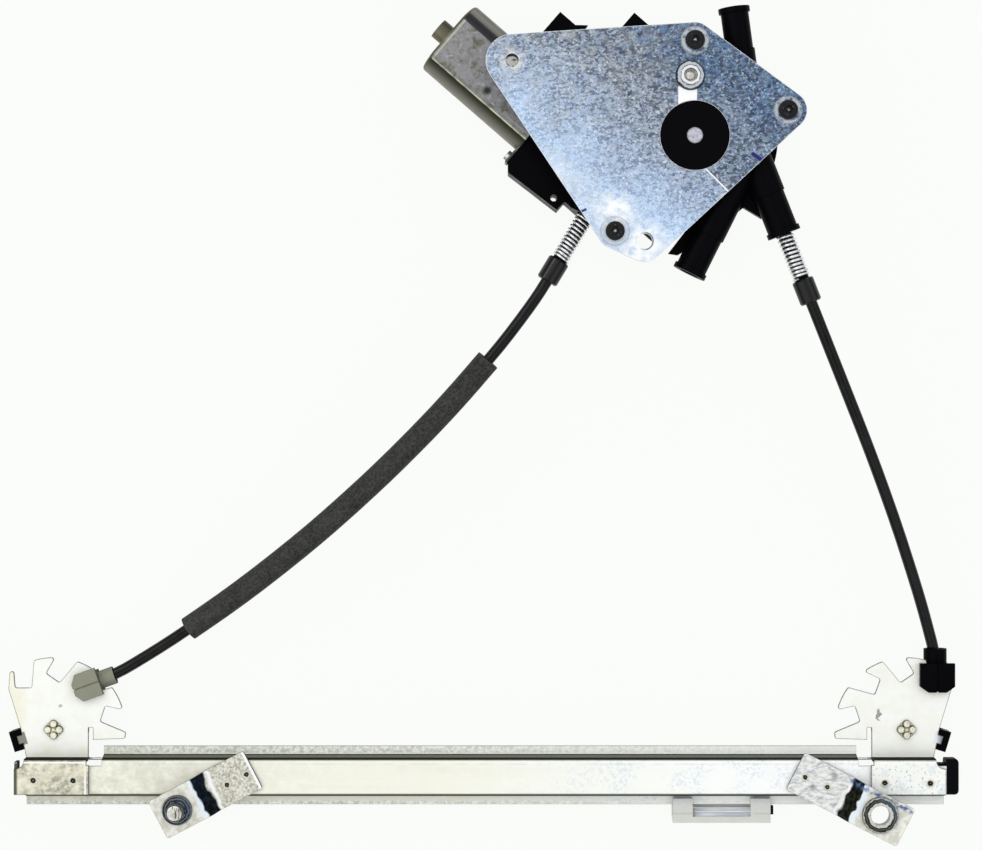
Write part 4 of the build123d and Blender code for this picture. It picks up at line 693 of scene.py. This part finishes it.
# every finish, under the name that the pieces below ask for
FINISHES = {
    "rail zinc": rail_zinc(),
    "left plate zinc": plate_end("left"),
    "right plate zinc": plate_end("right"),
    "plate zinc": motor_plate(),
    "left bracket zinc": joggled("left"),
    "right bracket zinc": joggled("right"),
    "glass plate zinc": sheet_zinc("glass plate zinc", shade(206, 208, 206), shade(180, 182, 182),
                                   shade(160, 162, 164), 0.6),
    "weld rim": sheet_zinc("weld rim zinc", shade(236, 236, 222), shade(206, 206, 190),
                           shade(180, 180, 166), 0.5),
    "bright steel": plated_steel("bright plated steel", STEEL, 0.24),
    "rivet steel": peened_rivets(),
    "stud steel": collared_steel("stud steel", STUD, (
        (4.5, 7.4, shade(14, 22, 34)), (5.6, 6.1, shade(120, 132, 140)),
        (3.7, 4.4, shade(30, 36, 40))), 3.7),
    "bush steel": collared_steel("bush steel", BUSH, (
        (6.2, 8.3, shade(16, 20, 18)), (5.4, 6.1, shade(232, 234, 224)),
        (7.0, 7.35, shade(110, 116, 100)), (8.9, 9.9, shade(40, 44, 44)))),
    "collar steel": collared_steel("collar nut steel", NUT, (
        (6.4, 7.6, shade(28, 36, 48)), (4.6, 5.1, shade(44, 50, 60)),
        (5.1, 6.3, shade(198, 206, 214)), (3.4, 4.6, shade(236, 238, 246)))),
    "dull pin": plated_steel("drum shaft steel", shade(196, 196, 208), 0.4, 0.4),
    "spring steel": plated_steel("spring wire", shade(236, 238, 240), 0.2, wall=None),
    "black steel": drive_screws(),
    "can": drawn_can(),
    "black plastic": moulded("black housing plastic", BLACK, (0.32, 0.46), gloss=0.03),
    "white plastic": slider_plastic(),
    "cream plastic": moulded("cream gear plastic", shade(222, 216, 196), (0.32, 0.45), lift=1.05),
    "taupe plastic": clip_plastic(),
    "rubber": moulded("black rubber", shade(5, 4, 9), (0.5, 0.7), 0.7, 0.04, gloss=0.05),
    "jacket": conduit_jacket(),
    "braid": sleeve_braid(),
    "ferrule plastic": moulded("ferrule plastic", shade(8, 9, 13), (0.16, 0.28), gloss=0.3),
    "copper": plated_steel("enamelled copper", shade(190, 112, 66), 0.3, wall=None),
    "bronze": plated_steel("sintered bronze", shade(172, 146, 104), 0.42, wall=None),
    "laminations": plated_steel("core laminations", shade(126, 126, 128), 0.4, wall=None),
    "ferrite": moulded("ferrite magnet", shade(48, 48, 51), (0.5, 0.7), 0.5, 0.05),
    "carbon": moulded("brush carbon", shade(38, 38, 38), (0.45, 0.6)),
    "tin": plated_steel("tinned brass", shade(214, 202, 164), 0.28, wall=None),
}
# which pieces each finish goes on
DRESS = {
    "rail zinc": "rail",
    "left plate zinc": "left_end_plate",
    "right plate zinc": "right_end_plate",
    "plate zinc": "mounting_plate",
    "left bracket zinc": "left_mount_bracket",
    "right bracket zinc": "right_mount_bracket",
    "glass plate zinc": "glass_plate",
    "bright steel": "glass_bush cover_screws can_screws cable_nipples worm_shaft brush_springs",
    "rivet steel": "left_pulley_rivet right_pulley_rivet",
    "stud steel": "left_bracket_stud",
    "bush steel": "right_bracket_bush",
    "collar steel": "plate_nut",
    "dull pin": "drum_shaft",
    "spring steel": "left_spring right_spring rail_cable left_drum_cable right_drum_cable"
                    " cable_wraps",
    "black steel": "plate_screws",
    "can": "motor_can",
    "black plastic": "drum_housing gear_housing gear_cover plug_housing right_conduit_clip"
                     " left_pulley_bracket right_pulley_bracket left_pulley right_pulley",
    "ferrule plastic": "left_ferrule right_ferrule",
    "white plastic": "carriage_slider",
    "cream plastic": "cable_drum worm_wheel drum_driver",
    "taupe plastic": "left_conduit_clip",
    "rubber": "end_buffer carriage_buffer damper",
    "jacket": "left_conduit right_conduit",
    "braid": "left_sleeve",
    "copper": "armature_windings commutator",
    "bronze": "can_bearing worm_bearings",
    "laminations": "armature_core",
    "ferrite": "magnets",
    "carbon": "brushes",
    "tin": "plug_pins",
}
for finish, names in DRESS.items():
    for name in names.split():
        piece = nodes[name].data
        piece.materials.clear()
        piece.materials.append(FINISHES[finish].material)


# ---------------------------------------------------------------- pieces made by nodes
class NodeBench(Nodes):
    """A Geometry Nodes tree: what it is given, and the one mesh it makes."""

    def __init__(self, tree):
        super().__init__(tree)
        self.given = tree.nodes.new("NodeGroupInput").outputs
        self.result = tree.nodes.new("NodeGroupOutput").inputs[0]

    def point(self, x=0.0, y=0.0, z=0.0):
        return self.node("ShaderNodeCombineXYZ", X=x, Y=y, Z=z).outputs[0]

    def tube(self, path, radius, sides, **caps):
        """A round section carried along a curve."""
        section = self.node("GeometryNodeCurvePrimitiveCircle", Resolution=sides, Radius=radius)
        return self.node("GeometryNodeCurveToMesh", Curve=path.outputs[0],
                         Profile_Curve=section.outputs[0], **caps).outputs[0]

    def finish(self, geometry, dress):
        real = self.node("GeometryNodeRealizeInstances", Geometry=geometry).outputs[0]
        smooth = self.node("GeometryNodeSetShadeSmooth", Geometry=real).outputs[0]
        dressed = self.node("GeometryNodeSetMaterial", Geometry=smooth,
                            Material=FINISHES[dress].material)
        self.feed(self.result, dressed.outputs[0])


def made_by_nodes(name, build, body, slot, replaced=(), place=Matrix.Identity(4), places=(),
                  **sizes):
    """Run a Geometry Nodes tree once with its sizes set, and keep the result as a plain mesh."""
    tree = bpy.data.node_groups.new(name, "GeometryNodeTree")
    tree.is_modifier = True
    sockets = {}
    tree.interface.new_socket("Places", in_out="INPUT", socket_type="NodeSocketGeometry")
    for label, value in sizes.items():
        kind = "NodeSocketInt" if isinstance(value, int) else "NodeSocketFloat"
        sockets[label] = tree.interface.new_socket(label, in_out="INPUT", socket_type=kind)
    tree.interface.new_socket("Mesh", in_out="OUTPUT", socket_type="NodeSocketGeometry")
    build(NodeBench(tree))
    start = bpy.data.meshes.new(name + "_bench")
    start.from_pydata(places, [], [])
    holder = linked(start.name, start)
    step = holder.modifiers.new("build", "NODES")
    step.node_group = tree
    for label, value in sizes.items():
        step[sockets[label].identifier] = value
    seen = bpy.context.evaluated_depsgraph_get()
    mesh = bpy.data.meshes.new_from_object(holder.evaluated_get(seen))
    holder.modifiers.clear()
    bpy.data.objects.remove(holder)
    mesh.transform(place)
    mesh.name = name
    piece = linked(name, mesh)
    if replaced:
        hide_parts(*replaced)
    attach(piece, body)


def spring_coil(bench):
    """Compression spring along Z, with its end turns closed up."""
    given = bench.given
    line = bench.node("GeometryNodeCurveSpiral", Resolution=20, Height=1.0,
                      Rotations=bench.math("DIVIDE", given["Length"], given["Pitch"]),
                      Start_Radius=given["Coil radius"], End_Radius=given["Coil radius"])
    spot = bench.node("GeometryNodeInputPosition").outputs[0]
    parts = bench.node("ShaderNodeSeparateXYZ", Vector=spot).outputs
    closed = bench.node("ShaderNodeMapRange", {"interpolation_type": "SMOOTHSTEP"},
                        Value=parts["Z"]).outputs["Result"]
    even = bench.plus(bench.times(parts["Z"], 0.86), bench.times(closed, 0.14))
    rise = bench.times(even, bench.minus(given["Length"], given["Wire radius"]))
    moved = bench.node("GeometryNodeSetPosition", Geometry=line.outputs[0],
                       Position=bench.point(parts["X"], parts["Y"], rise))
    bench.finish(bench.tube(moved, given["Wire radius"], 10, Fill_Caps=True), "spring steel")


def liner_tube(bench):
    """Plain black liner inside a spring."""
    line = bench.node("GeometryNodeCurvePrimitiveLine", End=bench.point(z=bench.given["Length"]))
    fine = bench.node("GeometryNodeResampleCurve", Curve=line.outputs[0], Count=48)
    bench.finish(bench.tube(fine, bench.given["Radius"], 28, Fill_Caps=True), "black plastic")


def raised_rims(bench):
    """A low raised rim round each weld mark."""
    ring = bench.node("GeometryNodeCurvePrimitiveCircle", Resolution=28,
                      Radius=bench.given["Rim radius"])
    rim = bench.tube(ring, bench.given["Rim height"], 8)
    marks = bench.node("GeometryNodeInstanceOnPoints", Points=bench.given["Places"],
                       Instance=rim)
    bench.finish(marks.outputs[0], "weld rim")


def top_of(node, x, y):
    """The place on top of a node, straight above or below a point of the unit."""
    return nodes[node].ray_cast(at(x, y, 80), (0, 0, -1))[1]


made_by_nodes("weld_marks", raised_rims, "frame", "zinc_sheet",
              places=[top_of(node, *point) for node, points in WELDS.items() for point in points],
              **{"Rim radius": 1.75 * MM, "Rim height": 0.22 * MM})


# the drum housing's two arms: side of the drum, offset of the arm's line from the drum's
# axis, its direction in degrees and the spring's length
ARMS = {"left": (1, 25.4, 238.9, 48.0), "right": (-1, 24.5, 291.5, 47.0)}
ARM_START, ARM_HEIGHT = 38.0, 37.0


def along_arm(side, offset, turn):
    """Where a spring sits in its arm, with the arm's direction as local Z."""
    start = at(DRUM[0] + side * offset * sin(turn) + ARM_START * cos(turn),
               DRUM[1] - side * offset * cos(turn) + ARM_START * sin(turn), ARM_HEIGHT)
    way = Vector((cos(turn), sin(turn), 0))
    return Matrix.Translation(start) @ way.to_track_quat("Z", "X").to_matrix().to_4x4()


for hand, (side, offset, angle, length) in ARMS.items():
    place = along_arm(side, offset, radians(angle))
    made_by_nodes(hand + "_spring_wire", spring_coil, "frame", "spring_steel",
                  (hand + "_spring",), place,
                  **{"Length": length * MM, "Pitch": 2.05 * MM, "Coil radius": 3.85 * MM,
                     "Wire radius": 0.74 * MM})
    made_by_nodes(hand + "_spring_liner", liner_tube, "frame", "black_plastic", (), place,
                  **{"Length": length * MM, "Radius": 3.6 * MM})


# ---------------------------------------------------------------- small pieces made by hand
def hand_made(name, shape, body, dress):
    """Clean up a shape and make it a piece of the unit."""
    mesh = bpy.data.meshes.new(name)
    bmesh.ops.remove_doubles(shape, verts=shape.verts, dist=1e-6)
    bmesh.ops.recalc_face_normals(shape, faces=shape.faces)
    shape.to_mesh(mesh)
    shape.free()
    mesh.materials.append(FINISHES[dress].material)
    piece = linked(name, mesh)
    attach(piece, body)


def turned_shape(centre, outline, sides=40):
    """A closed turned form: outline is (radius, height) from its foot round to its crown."""
    shape = bmesh.new()
    foot = shape.verts.new((centre[0], centre[1], outline[0][1] * MM))
    crown = shape.verts.new((centre[0], centre[1], outline[-1][1] * MM))
    turns = [2 * pi * i / sides for i in range(sides)]
    rings = [[shape.verts.new((centre[0] + radius * MM * cos(turn),
                               centre[1] + radius * MM * sin(turn), height * MM))
              for turn in turns] for radius, height in outline[1:-1]]
    for i in range(sides):
        j = (i + 1) % sides
        shape.faces.new((foot, rings[0][j], rings[0][i]))
        shape.faces.new((crown, rings[-1][i], rings[-1][j]))
        for low, high in zip(rings, rings[1:]):
            shape.faces.new((low[i], low[j], high[j], high[i]))
    return shape


def rounded_slab(corners, low, high, ease=0.4):
    """A flat web with eased edges, from its corners seen from above."""
    shape = bmesh.new()
    face = shape.faces.new([shape.verts.new(at(x, y, low)) for x, y in corners])
    raised = bmesh.ops.extrude_face_region(shape, geom=[face])["geom"]
    bmesh.ops.translate(shape, vec=(0, 0, (high - low) * MM),
                        verts=[v for v in raised if isinstance(v, bmesh.types.BMVert)])
    bmesh.ops.bevel(shape, geom=list(shape.edges), offset=ease * MM, segments=2, profile=0.5,
                    affect="EDGES")
    return shape


nut_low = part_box("plate_nut")[0][2] / MM
hand_made("plate_nut_floor", turned_shape(NUT, (
    (0, nut_low + 0.1), (3.2, nut_low + 0.1), (3.3, nut_low + 0.9), (2.4, nut_low + 1.0),
    (2.1, nut_low + 1.5), (1.0, nut_low + 1.7), (0, nut_low + 1.75))),
    "frame", "collar steel")
hand_made("housing_web", rounded_slab(((307.6, 238.0), (312.4, 237.2), (322.5, 243.5),
                                       (330.0, 262.0), (326.0, 262.0)), 30.0, 33.5),
          "frame", "black plastic")


# ---------------------------------------------------------------- floor, light and camera
class Surround(Nodes):
    """The shader tree of the floor or of the room, started afresh."""

    def __init__(self, owner, out):
        owner.use_nodes = True
        super().__init__(owner.node_tree)
        self.tree.nodes.clear()
        self.surface = self.node(out).inputs["Surface"]

    def coat(self, kind, color, **inputs):
        return self.node(kind, Color=color, **inputs).outputs[0]

    def show(self, rays, ordinary, shown):
        """What the named rays see, against what lights the unit."""
        path = self.node("ShaderNodeLightPath").outputs
        amount = path[rays[0]]
        for ray in rays[1:]:
            amount = self.math("MAXIMUM", amount, path[ray])
        pick = self.node("ShaderNodeMixShader", Fac=amount)
        self.feed(pick.inputs[1], ordinary)
        self.feed(pick.inputs[2], shown)
        self.feed(self.surface, pick.outputs[0])


def studio_floor():
    """White paper that keeps the unit's shadow."""
    reach, drop = 3.0, -0.0004
    mesh = bpy.data.meshes.new("floor")
    mesh.from_pydata([(-reach, -reach, drop), (reach, -reach, drop), (reach, reach, drop),
                      (-reach, reach, drop)], [], [(0, 1, 2, 3)])
    floor = linked("floor", mesh)
    paper = bpy.data.materials.new("floor paper")
    surround = Surround(paper, "ShaderNodeOutputMaterial")
    matt = surround.coat("ShaderNodeBsdfDiffuse", (0.60, 0.61, 0.60))
    lit = surround.coat("ShaderNodeEmission", (0.985, 1.0, 0.975), Strength=0.935)
    faint = surround.coat("ShaderNodeBsdfDiffuse", (0.045, 0.045, 0.045))
    both = surround.node("ShaderNodeAddShader")
    surround.feed(both.inputs[0], lit)
    surround.feed(both.inputs[1], faint)
    surround.show(("Is Camera Ray", "Is Glossy Ray", "Is Transmission Ray"), matt,
                  both.outputs[0])
    mesh.materials.append(paper)


def studio_room():
    """A soft room: dark near the floor, brighter overhead, warmer on one side."""
    world = bpy.data.worlds.new("studio")
    bpy.context.scene.world = world
    surround = Surround(world, "ShaderNodeOutputWorld")
    way = surround.node("ShaderNodeTexCoord").outputs["Generated"]
    parts = surround.node("ShaderNodeSeparateXYZ", Vector=way).outputs
    bands = ((0.0, 0.12), (0.3, 0.5), (0.6, 1.15), (0.85, 1.15), (0.95, 0.5), (1.0, 0.22))
    rise = surround.ramp(parts["Z"], *((spot, (level,) * 3) for spot, level in bands))
    sides = surround.ramp(surround.span(parts["X"], -0.7, 0.7),
                          (0.0, (1.0, 0.99, 0.955)), (1.0, (0.965, 0.985, 1.0)))
    room = surround.coat("ShaderNodeBackground", surround.mix(1.0, rise, sides, "MULTIPLY"),
                         Strength=1.09)
    white = surround.coat("ShaderNodeBackground", (1, 1, 1))
    surround.show(("Is Camera Ray",), room, white)


def studio_lamps():
    """Two weak lamps, for soft highlights and the direction of the shadows."""
    aim = at(MIDDLE_OF_VIEW[0], 150)
    for name, place, power, size in (("overhead", (-0.35, 0.35, 2.2), 5.0, 1.5),
                                     ("upper_left", (-1.3, 1.1, 1.5), 3.0, 0.5)):
        lamp = bpy.data.lights.new(name, "AREA")
        lamp.energy = power
        lamp.size = size
        holder = linked(name, lamp)
        holder.location = aim + Vector(place)
        holder.rotation_euler = (aim - holder.location).to_track_quat("-Z", "Y").to_euler()


def camera():
    """Looks straight down; the frame is 491 mm wide at the height of the rail's web."""
    height, web, width = 1521.0, 21.0, 491.0
    lens = bpy.data.cameras.new("camera")
    lens.sensor_width = 36.0
    lens.lens = lens.sensor_width * (height - web) / width
    lens.clip_start, lens.clip_end = 0.05, 20.0
    holder = linked("camera", lens)
    holder.location = at(*MIDDLE_OF_VIEW, height)
    bpy.context.scene.camera = holder


studio_floor()
studio_room()
studio_lamps()
camera()
bpy.context.scene.view_settings.view_transform = "Standard"
